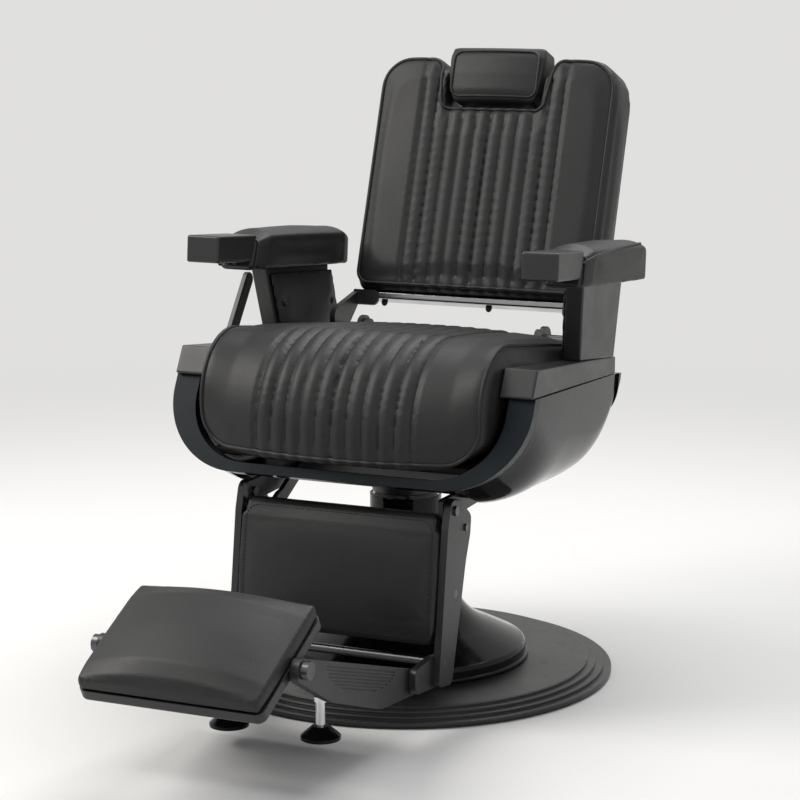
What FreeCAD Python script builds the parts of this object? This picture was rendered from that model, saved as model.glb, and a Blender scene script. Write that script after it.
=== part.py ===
import FreeCAD, Part
import math
import os
from types import SimpleNamespace

Vector = FreeCAD.Vector
Placement = FreeCAD.Placement
Rotation = FreeCAD.Rotation

# Frame of the chair: +Z up from the floor, the sitter faces -Y, origin on the lift axis.
# Sizes are millimetres and angles degrees.
SIZES = [
    # round base and hydraulic pump
    ("floor_pad_height", 4), ("floor_pad_inset", 4), ("base_rim_width", 24), ("small_round", 2),
    ("base_radius", 359), ("base_rim_run", 41), ("base_height", 27), ("base_rim_height", 12),
    ("base_steps", 3), ("base_wall", 6), ("cover_rim_radius", 210), ("cover_rim_top", 52),
    ("cover_waist_radius", 62), ("cover_waist_height", 215), ("cover_knee_radius", 100),
    ("cover_knee_height", 104), ("cover_top", 312), ("cover_wall", 3), ("cover_rim_round", 9),
    ("cover_knee_round", 110), ("cover_waist_round", 200), ("slot_clearance", 4),
    ("ram_radius", 32), ("ram_top", 338), ("ram_foot", 40), ("barrel_wall", 18), ("barrel_floor", 10),
    ("flange_radius", 90), ("flange_thickness", 8), ("flange_round", 6), ("flange_bolt_circle", 70),
    ("flange_bolt_radius", 5), ("bolt_head_radius", 9), ("bolt_head_height", 6.5), ("gland_height", 12),
    # pump pedal, behind the chair on the sitter's right
    ("pedal_heading", 135), ("pedal_pivot_reach", 130), ("pedal_pivot_height", 50), ("pedal_reach", 375),
    ("pedal_rise", 10), ("pedal_arm_width", 26), ("pedal_arm_thickness", 10), ("pedal_pin_radius", 6),
    ("pedal_ear", 8), ("pedal_ear_length", 30), ("pedal_ear_top", 12), ("pedal_boss", 14),
    ("pedal_boss_half", 12), ("pedal_boss_round", 8), ("pedal_neck", 20), ("pedal_neck_low", 6),
    ("pedal_pad_length", 70), ("pedal_pad_width", 78), ("pedal_pad_thickness", 10),
    ("pedal_pad_round", 22), ("pedal_pad_heel", 12), ("rib_count", 5), ("rib_pitch", 12),
    ("rib_width", 3), ("rib_depth", 2), ("rib_margin", 10),
    # fits
    ("running_fit", 0.05), ("seat_gap", 0.3), ("side_gap", 0.5), ("pin_end", 4), ("short_pin_end", 3),
    # steel frame under the seat
    ("hub_radius", 58), ("hub_flange_radius", 82), ("hub_clearance", 4), ("hub_round", 4),
    ("hub_flange_edge", 5), ("hub_flange_root", 12), ("plate_level", 345),
    ("plate_thickness", 8), ("plate_front", -72), ("plate_rear", 100),
    ("rail_inner", 171.5), ("rail_thickness", 8), ("rail_low", 328), ("rail_top", 365.5),
    ("rail_front", -258), ("rail_nose_round", 18), ("rail_top_round", 6), ("rail_step", 32),
    ("rail_bend", 30), ("rail_bend_run", 110), ("rail_neck_drop", 42), ("rail_back_drop", 20),
    ("rail_back_bend", 25), ("rail_heel_run", 75), ("rail_heel_drop", 118), ("rail_heel_bend", 40),
    ("rail_tail_run", 145), ("rail_tail_rise", 10),
    ("recline_y", 205), ("recline_z", 560), ("recline_pin_radius", 10), ("ear_radius", 24),
    ("leg_y", -235), ("leg_z", 345), ("leg_pin_radius", 8),
    # moulded seat shell
    ("shell_half_width", 322), ("shell_rear_half_width", 292), ("shell_bottom", 342), ("shell_wall", 6),
    ("shell_top", 560), ("shell_corner", 130), ("shell_rear_corner", 62), ("shell_front_y", -292),
    ("shell_front_z", 388), ("shell_rake", 0.5), ("shell_rear_y", 258), ("shell_rear_z", 432),
    ("shell_rear_rake", 0.2), ("shell_fall_share", 0.25), ("shell_lift_share", 0.62),
    ("shell_lift_power", 2.6), ("shell_sections", 9), ("tool_over", 20),
    ("bezel_overrun", 0.1), ("hollow_overrun", 0.02),
    ("bezel_depth", 26), ("bezel_side", 45), ("bezel_sill", 26),
    ("trim_depth", 18), ("trim_proud", 4), ("trim_band", 30), ("opening_half_width", 212),
    ("opening_front", -245), ("opening_rear", 130), ("bracket_reach", 230), ("bracket_width", 40),
    ("bracket_top", 362), ("bracket_front_y", -190), ("bracket_rear_y", 20),
    # side caps
    ("cap_front_y", -231), ("cap_rear_y", 245), ("cap_front_low", 533.5), ("cap_front_high", 578),
    ("cap_rear_low", 501.8), ("cap_rear_high", 533), ("cap_rake", 24), ("cap_inner", 263),
    ("cap_inset", 1), ("cap_rear_proud", 2), ("cap_round", 3),
    # seat
    ("board_level", 403), ("board_thickness", 12), ("board_half_width", 245), ("board_front", -235),
    ("board_bend_y", -30), ("board_bend", 48), ("board_rise", 0.59), ("board_setback", 8),
    ("board_round", 4), ("rod_slot_width", 22), ("rod_slot_front", 60),
    ("seat_half_width", 258), ("seat_front", -276), ("seat_rear", 168), ("seat_front_top", 626),
    ("seat_rear_top", 564), ("seat_roll", 145), ("seat_bulge", 30), ("seat_crown", 5),
    ("seat_edge", 14), ("seat_front_slant", 4), ("seat_low_round", 8), ("seat_rear_round", 14),
    ("seat_corner_rise", 51), ("seat_corner_run", 90), ("seam_count", 11), ("seam_pitch", 27.5),
    ("seam_depth", 5), ("channel_crown", 2), ("channel_border", 9),
    # arms
    ("arm_inset", 17), ("arm_front_y", -160), ("arm_top_z", 759), ("arm_toe", 1.6), ("arm_slope", 4.4),
    ("grip_width", 62), ("grip_height", 46), ("grip_length", 112), ("grip_slant", 22), ("grip_round", 4),
    ("pad_width", 82), ("pad_length", 375), ("pad_height", 58), ("pad_crown", 13), ("pad_draw", 12),
    ("pad_drop", 1), ("post_thickness", 31), ("post_inset", 23), ("post_front", 51), ("post_rear", 222),
    ("post_wing", 25),
    ("post_shift", -3), ("post_top_front", 30), ("post_top_rear", 242), ("post_top_wing", 28),
    ("post_clearance", 3),
    ("post_round", 3), ("panel_thickness", 5), ("panel_margin", 4), ("panel_share", 0.07),
    ("panel_rear", 299), ("panel_top_rear", 268), ("panel_heel", 36), ("panel_gap", 1.1),
    ("panel_edge", 1.5),
    # backrest
    ("back_lean", 19), ("back_y", 278), ("back_z", 622), ("back_half_width", 235), ("back_height", 448),
    ("back_depth", 85), ("back_panel_depth", 32), ("back_crown", 10), ("back_lobe_radius", 62),
    ("back_edge", 12), ("back_low_round", 16), ("back_top_round", 22), ("back_corner_share", 0.93),
    ("notch_half_width", 92), ("notch_height", 353), ("notch_slope", 12), ("notch_round", 6),
    ("panel_inset", 8), ("panel_round", 24), ("back_rail_height", 14), ("back_rail_depth", 40),
    ("back_rail_half_width", 232), ("back_rail_inset", 12), ("back_rail_round", 4),
    ("hinge_thickness", 10), ("hinge_front_drop", 12), ("hinge_round", 18), ("hinge_rise", 34),
    ("hinge_flange", 41), ("hinge_flange_thickness", 6), ("hinge_flange_drop", 14),
    ("hinge_flange_round", 10), ("shaft_boss", 18),
    ("crank_y", 234), ("crank_z", 536), ("crank_pin_radius", 6), ("crank_boss", 15),
    ("crank_round", 12),
    # headrest
    ("head_width", 184), ("head_flare", 23), ("head_height", 106), ("head_depth", 58), ("head_crown", 9),
    ("head_proud", 12), ("head_draw", 13), ("head_gap", 5), ("head_setback", 34),
    ("post_radius", 6), ("post_spacing", 110), ("post_depth", 150), ("post_lift", 2), ("sleeve_wall", 3),
    # leg rest
    ("leg_lean", 7.9), ("leg_plate_thickness", 12), ("leg_front", -25), ("leg_back", 70),
    ("leg_length", 284), ("leg_waist", 58), ("leg_foot_back", 28), ("leg_ear", 18), ("leg_round", 10),
    ("leg_heel_round", 14), ("leg_bend", 30), ("leg_waist_bend", 120),
    ("calf_half_width", 179.4), ("calf_top", 6), ("calf_bottom", 220), ("calf_front", -40),
    ("calf_depth", 46), ("calf_crown", 8), ("calf_draw", 14), ("calf_board", 10), ("calf_inset", 8),
    ("calf_notch", 32), ("cross_rod_radius", 7.5), ("low_rod_s", 246), ("low_rod_t", -8),
    ("knee_y", -192), ("knee_z", 309), ("knee_pin_radius", 6),
    ("bracket_thickness", 12), ("bracket_high_s", 234), ("bracket_round", 8), ("bracket_back_inset", 6),
    ("toe_boss", 20), ("toe_low_round", 14), ("toe_high_round", 12), ("toe_y", -345), ("toe_z", 92),
    ("toe_pin_radius", 7),
    # footrest
    ("tread_y", -732), ("tread_z", 213), ("arm_inner", 153), ("foot_arm_thickness", 14), ("arm_rise", 16),
    ("arm_drop", 47), ("arm_tail", 23), ("arm_nose", 17), ("arm_heel", 18), ("arm_heel_round", 4),
    ("arm_top_round", 8), ("arm_front_bend", 190), ("arm_rear_bend", 150), ("groove_count", 7),
    ("groove_pitch", 5), ("groove_width", 2), ("groove_depth", 1.5), ("groove_top", 8),
    ("step_front_s", 280), ("step_rear_s", 90), ("step_thickness", 6), ("step_drop", 10),
    ("foot_x", 80), ("foot_y", -501), ("foot_level", 30), ("foot_radius", 31.5), ("foot_neck", 13.5),
    ("foot_height", 21), ("foot_rim", 5), ("stem_radius", 7.5), ("stem_collar", 10),
    ("collar_height", 8), ("tread_half_width", 151), ("tread_length", 216), ("tread_tilt", 27),
    ("pan_depth", 20), ("pan_floor", 3), ("pan_cheek", 24), ("pan_round", 14), ("pan_low_round", 6),
    ("tread_pad", 24), ("tread_crown", 22), ("tread_draw", 4), ("tread_inset", 1),
    ("tread_pin_radius", 7), ("tread_pin_bite", 8), ("tread_knob", 13.5), ("tread_knob_width", 12),
    ("tread_drop", 12),
    # recline lever on the sitter's right
    ("lever_standoff", 18), ("lever_y", -36), ("lever_z", 500), ("lever_lean", 36), ("lever_length", 205),
    ("lever_width", 26), ("lever_thickness", 10), ("lever_round", 2), ("lever_hub_radius", 17),
    # push rods between backrest and leg rest
    ("rod_thickness", 8), ("rod_width", 24), ("rod_eye", 16), ("rod_neck", 6), ("rod_shoulder", 20),
    ("rod_slack", 1.6),
]

doc = FreeCAD.newDocument("barber_chair")
sheet = doc.addObject("Spreadsheet::Sheet", "dims")
for row, (name, value) in enumerate(SIZES, 1):
    sheet.set(f"A{row}", name)
    sheet.set(f"B{row}", str(value))
    sheet.setAlias(f"B{row}", name)
doc.recompute()
d = SimpleNamespace(**{name: float(sheet.get(name)) for name, value in SIZES})
nodes = []


def node(item, label):
    """Name a finished piece and put it on the list of pieces that are written out."""
    item.Label = label
    nodes.append(item)
    return item


def rounded(points):
    """Closed outline through (a, b) or (a, b, corner radius) points, as lines and arcs."""
    count = len(points)
    plain = [Vector(p[0], p[1], 0) for p in points]
    starts, ends, arcs = [], [], []
    for i, point in enumerate(points):
        corner = plain[i]
        radius = point[2] if len(point) > 2 else 0
        if radius <= 0:
            starts.append(corner)
            ends.append(corner)
            arcs.append(None)
            continue
        back = (plain[i - 1] - corner).normalize()
        ahead = (plain[(i + 1) % count] - corner).normalize()
        half = back.getAngle(ahead) / 2
        reach = radius / math.tan(half)
        middle = (back + ahead).normalize()
        starts.append(corner + back * reach)
        ends.append(corner + ahead * reach)
        arcs.append(corner + middle * (radius / math.sin(half) - radius))
    shapes = []
    for i in range(count):
        if arcs[i] is not None:
            shapes.append(Part.Arc(starts[i], arcs[i], ends[i]))
        follow = starts[(i + 1) % count]
        if ends[i].distanceToPoint(follow) > 1e-6:
            shapes.append(Part.LineSegment(ends[i], follow))
    return shapes


def profile(body, plane, outline, circles=()):
    """Sketch on one of the body's own planes: an outline and round holes (a, b, radius)."""
    sketch = body.newObject("Sketcher::SketchObject", body.Name + "_profile")
    support = next(f for f in body.Origin.OriginFeatures if f.Role == plane)
    sketch.AttachmentSupport = [(support, "")]
    sketch.MapMode = "FlatFace"
    sketch.addGeometry(rounded(outline))
    for a, b, radius in circles:
        sketch.addGeometry(Part.Circle(Vector(a, b, 0), Vector(0, 0, 1), radius))
    return sketch


def turned(label, outline):
    """Piece turned about the lift axis from a (radius, height) outline."""
    body = doc.addObject("PartDesign::Body", label)
    sketch = profile(body, "XZ_Plane", outline)
    turn = body.newObject("PartDesign::Revolution", label + "_turn")
    turn.Profile = sketch
    turn.ReferenceAxis = (sketch, ["V_Axis"])
    turn.Angle = 360
    return body


def plate(label, outline, holes, thickness, start):
    """Plate cut to a side-view (y, z) outline, from x = start and as thick as the named size."""
    body = doc.addObject("PartDesign::Body", label)
    sketch = profile(body, "YZ_Plane", outline, holes)
    pad = body.newObject("PartDesign::Pad", label + "_pad")
    pad.Profile = sketch
    pad.setExpression("Length", thickness)
    body.Placement = Placement(Vector(start, 0, 0), Rotation())
    return body


def pair(label, outline, holes, thickness, inner):
    """Left and right plates, the same outline at each side of the chair."""
    wide = float(getattr(d, thickness))
    for side, start in (("right", -inner - wide), ("left", inner)):
        node(plate(f"{label}_{side}", outline, holes, "dims." + thickness, start), f"{label}_{side}")


def paired(label, outline, holes, thickness, inner):
    """Like pair, for a small piece whose two sides are kept together as one group."""
    wide = float(getattr(d, thickness))
    sides = [plate(f"{label}_{i}", outline, holes, "dims." + thickness, start)
             for i, start in enumerate((-inner - wide, inner))]
    group = doc.addObject("Part::Compound", label)
    group.Links = sides
    return node(group, label)


def rod_x(name, radius, x_from, x_to, y, z):
    """Round bar along X whose radius is the named size."""
    bar = doc.addObject("Part::Cylinder", name)
    bar.setExpression("Radius", "dims." + radius)
    bar.Height = x_to - x_from
    bar.Placement = Placement(Vector(x_from, y, z), Rotation(Vector(0, 1, 0), 90))
    return bar


def both_sides(label, radius, inner, outer, y, z):
    """Two like pins, one at each side, kept together as one group of separate solids."""
    bars = [rod_x(f"{label}_a", radius, inner, outer, y, z),
            rod_x(f"{label}_b", radius, -outer, -inner, y, z)]
    group = doc.addObject("Part::Compound", label)
    group.Links = bars
    return node(group, label)


def made(label, shape, placement=None):
    """Piece whose form is worked out here: lofts, shells and their cuts."""
    item = doc.addObject("Part::Feature", label)
    item.Shape = shape
    if placement is not None:
        item.Placement = placement * shape.Placement
    return node(item, label)


def closed_wire(points):
    return Part.makePolygon([Vector(*p) for p in points] + [Vector(*points[0])])


def block(near, far):
    """Straight-sided block between two four-cornered ends."""
    return Part.makeLoft([closed_wire(near), closed_wire(far)], True, True)


def mirrored(shape):
    return shape.mirror(Vector(0, 0, 0), Vector(1, 0, 0))


def pillow(half_width, length, edge, crown, draw, ends, flare=0, slant=0):
    """Stuffed pad lying on z = 0, x across and y along: crowned, ends drawn in.
    The far end is wider by flare, and the near end leans back by slant at its edge height."""
    stations = [(0, 1.0), (0.04, 0.5), (ends, 0.08), (0.5, 0), (1 - ends, 0.08), (0.96, 0.5), (1, 1.0)]
    wires = []
    for share, pull in stations:
        y = share * length
        half = half_width + flare * (share - 0.5) / 2 - draw * pull
        side = edge - draw * pull
        top = edge + crown * (1 - pull) - draw * pull * 0.9
        top = max(top, side + 0.5)
        back = y + slant * (1 - share) * side / edge
        peak = y + slant * (1 - share) * top / edge
        a, b = Vector(-half, y, 0), Vector(half, y, 0)
        c, e = Vector(half, back, side), Vector(-half, back, side)
        arc = Part.Arc(c, Vector(0, peak, top), e).toShape()
        edges = [Part.makeLine(a, b), Part.makeLine(b, c), arc, Part.makeLine(e, a)]
        wires.append(Part.Wire(edges))
    return Part.makeLoft(wires, True, True)


def seam_stations(half_width, edge):
    """Places across a channelled cushion with how far each is drawn in: (x, share of edge, seam)."""
    count = int(d.seam_count)
    first = -d.seam_pitch * (count - 1) / 2
    inside = [(first + i * d.seam_pitch, 0, d.seam_depth) for i in range(count)]
    for i in range(count - 1):
        for step, rise in ((0.2, -0.3), (0.5, -1), (0.8, -0.3)):
            inside.append((first + (i + step) * d.seam_pitch, 0, rise * d.channel_crown))
    wing = (half_width + first) / 2
    outside = [(half_width, 1, 0), (half_width - 0.4 * edge, 0.35, 0), (half_width - 1.4 * edge, 0.05, 0)]
    outside += [(half_width - wing, 0, 0), (d.channel_border - first, 0, 0)]
    both = outside + [(-x, share, seam) for x, share, seam in outside]
    return sorted(inside + both)


# Round base: rubber pad on the floor, dished steel disc with stepped rim.
pad_outer = d.base_radius - d.floor_pad_inset
node(turned("floor_pad", [
    (0, 0), (pad_outer, 0, d.small_round / 2), (pad_outer, d.floor_pad_height), (0, d.floor_pad_height)]),
    "floor_pad")

steps = int(d.base_steps)
flat_radius = d.base_radius - d.base_rim_run
step_run = d.base_rim_run / steps
step_rise = (d.base_height - d.base_rim_height) / steps
rim = [(d.base_radius, d.floor_pad_height, d.small_round)]
for i in range(steps):
    level = d.base_rim_height + i * step_rise
    rim.append((d.base_radius - i * step_run, level, d.small_round))
    rim.append((d.base_radius - (i + 1) * step_run, level))
rim.append((flat_radius, d.base_height, d.small_round))
dish_radius = pad_outer - d.base_rim_width
dish_top = d.base_height - d.base_wall
dish = [(0, dish_top), (dish_radius, dish_top), (dish_radius, d.floor_pad_height)]
disc = turned("base_disc", dish + rim + [(0, d.base_height)])
bolt_ring = d.flange_bolt_circle
bolt_places = [(bolt_ring, 0), (0, bolt_ring), (-bolt_ring, 0), (0, -bolt_ring)]


def bolt_holes(body, label):
    """Through holes for the four pump bolts."""
    sketch = body.newObject("Sketcher::SketchObject", label + "_hole_places")
    support = next(f for f in body.Origin.OriginFeatures if f.Role == "XY_Plane")
    sketch.AttachmentSupport = [(support, "")]
    sketch.MapMode = "FlatFace"
    hole_radius = d.flange_bolt_radius + d.running_fit
    for x, y in bolt_places:
        sketch.addGeometry(Part.Circle(Vector(x, y, 0), Vector(0, 0, 1), hole_radius))
    doc.recompute()
    holes = body.newObject("PartDesign::Pocket", label + "_holes")
    holes.Profile = sketch
    holes.Type = "ThroughAll"
    holes.Midplane = True
    return body


node(bolt_holes(disc, "base_disc"), "base_disc")

# Hydraulic pump: barrel bolted to the disc, spun steel cover over it, gland ring round the ram.
barrel_top = d.cover_top - d.gland_height
bore = d.ram_radius + d.running_fit
barrel_outer = d.ram_radius + d.barrel_wall
flange_top = d.base_height + d.flange_thickness
barrel = turned("pump_barrel", [
    (0, d.base_height), (d.flange_radius, d.base_height), (d.flange_radius, flange_top, d.small_round),
    (barrel_outer, flange_top, d.flange_round), (barrel_outer, barrel_top), (bore, barrel_top),
    (bore, d.base_height + d.barrel_floor), (0, d.base_height + d.barrel_floor)])
node(bolt_holes(barrel, "pump_barrel"), "pump_barrel")

bolts = []
for x, y in bolt_places:
    shank = Part.makeCylinder(d.flange_bolt_radius, flange_top - dish_top + d.flange_bolt_radius,
                              Vector(x, y, dish_top - d.flange_bolt_radius))
    head = Part.makeCylinder(d.bolt_head_radius, d.bolt_head_height, Vector(x, y, flange_top))
    bolts.append(shank.fuse(head).removeSplitter())
made("pump_bolts", Part.makeCompound(bolts))

gland_outer = d.cover_waist_radius - d.cover_wall - d.seat_gap
node(turned("gland_ring", [
    (bore, barrel_top), (gland_outer, barrel_top), (gland_outer, d.cover_top, d.small_round),
    (bore, d.cover_top)]), "gland_ring")

wall = d.cover_wall
waist_inner = d.cover_waist_radius - wall
knee_inner = d.cover_knee_radius - wall
rim_inner = d.cover_rim_radius - wall
bell = turned("pump_cover_spun", [
    (rim_inner, d.base_height), (d.cover_rim_radius, d.base_height),
    (d.cover_rim_radius, d.cover_rim_top, d.cover_rim_round),
    (d.cover_knee_radius, d.cover_knee_height, d.cover_knee_round),
    (d.cover_waist_radius, d.cover_waist_height, d.cover_waist_round), (d.cover_waist_radius, d.cover_top),
    (waist_inner, d.cover_top), (waist_inner, d.cover_waist_height - wall / 3, d.cover_waist_round + wall),
    (knee_inner, d.cover_knee_height - wall, d.cover_knee_round - wall),
    (rim_inner, d.cover_rim_top - wall, d.cover_rim_round - wall)])
pedal_turn = Placement(Vector(0, 0, 0), Rotation(Vector(0, 0, 1), d.pedal_heading))
slot = doc.addObject("Part::Box", "pedal_slot")
slot.Length = d.cover_rim_radius
slot.setExpression("Width", "dims.pedal_arm_width + 2 * dims.slot_clearance")
slot.Height = d.cover_rim_top + 2 * d.slot_clearance
slot.Placement = pedal_turn * Placement(
    Vector(d.pedal_pivot_reach, -d.pedal_arm_width / 2 - d.slot_clearance, d.base_height), Rotation())
cover = doc.addObject("Part::Cut", "pump_cover")
cover.Base = bell
cover.Tool = slot
node(cover, "pump_cover")

# Pump pedal: bracket on the disc, cross pin, flat arm and ribbed foot pad.
ear_wide = d.pedal_ear
arm_half = d.pedal_arm_width / 2
pivot = d.pedal_pivot_reach
pivot_z = d.pedal_pivot_height
bracket_ears = []
for low in (-arm_half - d.side_gap - ear_wide, arm_half + d.side_gap):
    ear = Part.makeBox(d.pedal_ear_length, ear_wide, pivot_z - d.base_height + d.pedal_ear_top,
                       Vector(pivot - d.pedal_ear_length / 2, low, d.base_height))
    hole = Part.makeCylinder(d.pedal_pin_radius + d.running_fit, ear_wide, Vector(pivot, low, pivot_z),
                             Vector(0, 1, 0))
    bracket_ears.append(ear.cut(hole))
made("pedal_bracket", Part.makeCompound(bracket_ears), pedal_turn)

pin_half = arm_half + d.side_gap + ear_wide + d.small_round
pin_start = Vector(pivot, -pin_half, pivot_z)
made("pedal_pin", Part.makeCylinder(d.pedal_pin_radius, 2 * pin_half, pin_start, Vector(0, 1, 0)), pedal_turn)

far = pivot_z + d.pedal_rise
half_thick = d.pedal_arm_thickness / 2
pedal_side = Part.Wire([g.toShape() for g in rounded([
    (pivot - d.pedal_boss, pivot_z - d.pedal_boss_half, d.pedal_boss_round),
    (pivot + d.pedal_neck, pivot_z - d.pedal_neck_low),
    (d.pedal_reach, far - half_thick), (d.pedal_reach, far + half_thick),
    (pivot + d.pedal_neck, pivot_z + d.pedal_boss_round),
    (pivot - d.pedal_boss, pivot_z + d.pedal_boss_half, d.pedal_boss_round)])])
pedal_face = Part.Face(pedal_side)
pedal_face.rotate(Vector(0, 0, 0), Vector(1, 0, 0), 90)
pedal_face.translate(Vector(0, arm_half, 0))
pedal_arm = pedal_face.extrude(Vector(0, -d.pedal_arm_width, 0))
pedal_arm = pedal_arm.cut(Part.makeCylinder(
    d.pedal_pin_radius + d.running_fit, 2 * pin_half, pin_start, Vector(0, 1, 0)))
made("pedal_arm", pedal_arm, pedal_turn)

half_pad = d.pedal_pad_width / 2
pad_wire = Part.Wire([g.toShape() for g in rounded([
    (0, -half_pad, d.pedal_pad_heel), (d.pedal_pad_length, -half_pad, d.pedal_pad_round),
    (d.pedal_pad_length, half_pad, d.pedal_pad_round), (0, half_pad, d.pedal_pad_heel)])])
pedal_pad = Part.Face(pad_wire).extrude(Vector(0, 0, d.pedal_pad_thickness))
for i in range(int(d.rib_count)):
    pedal_pad = pedal_pad.cut(Part.makeBox(
        d.rib_width, d.pedal_pad_width - 2 * d.rib_margin, d.rib_depth,
        Vector(d.rib_margin + i * d.rib_pitch, d.rib_margin - half_pad, d.pedal_pad_thickness - d.rib_depth)))
made("pedal_pad", pedal_pad, pedal_turn * Placement(
    Vector(d.pedal_reach, 0, far - d.pedal_pad_thickness / 2), Rotation()))

# Chrome ram that lifts the seat.
ram = doc.addObject("Part::Cylinder", "lift_ram")
ram.setExpression("Radius", "dims.ram_radius")
ram.setExpression("Height", "dims.ram_top - dims.ram_foot")
ram.Placement = Placement(Vector(0, 0, d.ram_foot), Rotation())
node(ram, "lift_ram")

# Swivel hub, mounting plate and the two side rails of the seat frame.
hub_foot = d.cover_top + d.hub_clearance
node(turned("swivel_hub", [
    (bore, hub_foot), (d.hub_radius, hub_foot, d.hub_round),
    (d.hub_radius, d.plate_level - d.hub_flange_root, d.flange_round),
    (d.hub_flange_radius, d.plate_level - d.hub_flange_edge), (d.hub_flange_radius, d.plate_level),
    (0, d.plate_level),
    (0, d.ram_top), (bore, d.ram_top)]), "swivel_hub")

seat_plate = doc.addObject("Part::Box", "seat_plate")
seat_plate.setExpression("Length", "2 * dims.rail_inner")
seat_plate.setExpression("Width", "dims.plate_rear - dims.plate_front")
seat_plate.setExpression("Height", "dims.plate_thickness")
seat_plate.Placement = Placement(Vector(-d.rail_inner, d.plate_front, d.plate_level), Rotation())
node(seat_plate, "seat_plate")

step_y = d.board_bend_y - d.rail_step
ear = d.ear_radius
ear_round = ear - d.small_round / 2
pair("frame_rail", [
    (d.rail_front, d.rail_low, d.rail_nose_round), (d.rail_front, d.rail_top, d.rail_top_round),
    (step_y, d.rail_top), (step_y, d.board_level),
    (d.recline_y - d.rail_bend_run, d.board_level, d.rail_bend),
    (d.recline_y - ear, d.recline_z - d.rail_neck_drop, d.rail_bend),
    (d.recline_y - ear, d.recline_z + ear, ear_round), (d.recline_y + ear, d.recline_z + ear, ear_round),
    (d.recline_y + ear, d.recline_z - d.rail_back_drop, d.rail_back_bend),
    (d.recline_y - d.rail_heel_run, d.recline_z - d.rail_heel_drop, d.rail_heel_bend),
    (d.recline_y - d.rail_tail_run, d.rail_low + d.rail_tail_rise, d.rail_heel_bend)],
    [(d.leg_y, d.leg_z, d.leg_pin_radius + d.running_fit),
     (d.recline_y, d.recline_z, d.recline_pin_radius + d.running_fit)], "rail_thickness", d.rail_inner)
rail_outer = d.rail_inner + d.rail_thickness

# Moulded shell under the seat: U-shaped sections from the raked front edge to the rear edge.
cap_drop = (d.cap_front_low - d.cap_rear_low) / (d.cap_rear_y - d.cap_front_y)


def shell_section(share, inset_side, inset_low, grow_top):
    """Closed U at a share of the way from the front edge to the rear edge of the shell."""
    half = d.shell_half_width + (d.shell_rear_half_width - d.shell_half_width) * share - inset_side
    foot_y = d.shell_front_y + (d.shell_rear_y - d.shell_front_y) * share
    fall = 0.5 - 0.5 * math.cos(math.pi * min(1, max(0, share) / d.shell_fall_share))
    lift = (max(0, share - d.shell_lift_share) / (1 - d.shell_lift_share)) ** d.shell_lift_power
    foot_z = d.shell_front_z + (d.shell_bottom - d.shell_front_z) * fall
    foot_z += (d.shell_rear_z - d.shell_bottom) * lift
    rake = d.shell_rake + (d.shell_rear_rake - d.shell_rake) * share
    corner = d.shell_corner + (d.shell_rear_corner - d.shell_corner) * share - min(inset_side, inset_low)
    foot = foot_z + inset_low
    top = d.shell_top + grow_top

    def at(x, z):
        return Vector(x, foot_y + rake * (z - foot_z), z)

    bend = corner * (1 - math.sqrt(0.5))
    low_l, low_r = at(-half + corner, foot), at(half - corner, foot)
    up_l, up_r = at(-half, foot + corner), at(half, foot + corner)
    arc_l = Part.Arc(low_l, at(-half + bend, foot + bend), up_l).toShape()
    arc_r = Part.Arc(low_r, at(half - bend, foot + bend), up_r).toShape()
    top_l, top_r = at(-half, top), at(half, top)
    return Part.Wire([
        Part.makeLine(low_r, low_l), arc_l, Part.makeLine(up_l, top_l), Part.makeLine(top_l, top_r),
        Part.makeLine(top_r, up_r), arc_r])


def shell_loft(start, end, count, inset_side=0, inset_low=0, grow_top=0, smooth=True):
    shares = [start + (end - start) * i / (count - 1) for i in range(count)]
    wires = [shell_section(share, inset_side, inset_low, grow_top) for share in shares]
    return Part.makeLoft(wires, True, not smooth)


span = d.shell_rear_y - d.shell_front_y
bezel_share = d.bezel_depth / span
trim_share = d.trim_depth / span
far_side = 2 * d.shell_half_width
sky = 2 * d.shell_top
front_end = d.cap_front_y - d.shell_half_width
rear_end = d.cap_rear_y + d.shell_half_width
front_edge = d.cap_front_low + d.shell_half_width * cap_drop
rear_edge = d.cap_rear_low - d.shell_half_width * cap_drop
above_cap = block(*[
    [(x, front_end, front_edge), (x, front_end, sky), (x, rear_end, sky), (x, rear_end, rear_edge)]
    for x in (-far_side, far_side)])

sections = int(d.shell_sections)
wall = d.shell_wall
bezel = shell_loft(0, bezel_share, 2, smooth=False)
window_end = bezel_share + d.bezel_overrun
window = shell_loft(-d.bezel_overrun, window_end, 2, d.bezel_side, d.bezel_sill, d.tool_over, False)
made("front_bezel", bezel.cut(window).cut(above_cap))

tub = shell_loft(bezel_share, 1 - trim_share, sections)
hollow_start = bezel_share - d.hollow_overrun
hollow_end = 1 - trim_share + d.hollow_overrun
tub = tub.cut(shell_loft(hollow_start, hollow_end, sections, wall, wall, d.tool_over))
half_open = d.opening_half_width
opening = Part.makeBox(2 * half_open, d.opening_rear - d.opening_front, d.shell_front_z - d.rail_low,
                       Vector(-half_open, d.opening_front, d.rail_low))
made("seat_shell", tub.cut(opening).cut(above_cap))

lining = wall + d.seat_gap
cavity = shell_loft(bezel_share, 1 - trim_share, sections, lining, lining)
saddles = []
for y in (d.bracket_front_y, d.bracket_rear_y):
    for x in (rail_outer, -d.bracket_reach):
        saddle = Part.makeBox(d.bracket_reach - rail_outer, d.bracket_width, d.bracket_top - d.rail_low,
                              Vector(x, y, d.rail_low))
        saddles.append(saddle.common(cavity))
made("shell_brackets", Part.makeCompound(saddles))

trim = shell_loft(1 - trim_share, 1, 2, -d.trim_proud, -d.trim_proud, 0, False)
trim_inside = shell_loft(1 - 2 * trim_share, 1 + trim_share, 2, d.trim_band, d.trim_band, d.tool_over, False)
made("rear_trim", trim.cut(trim_inside).cut(above_cap))

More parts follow.
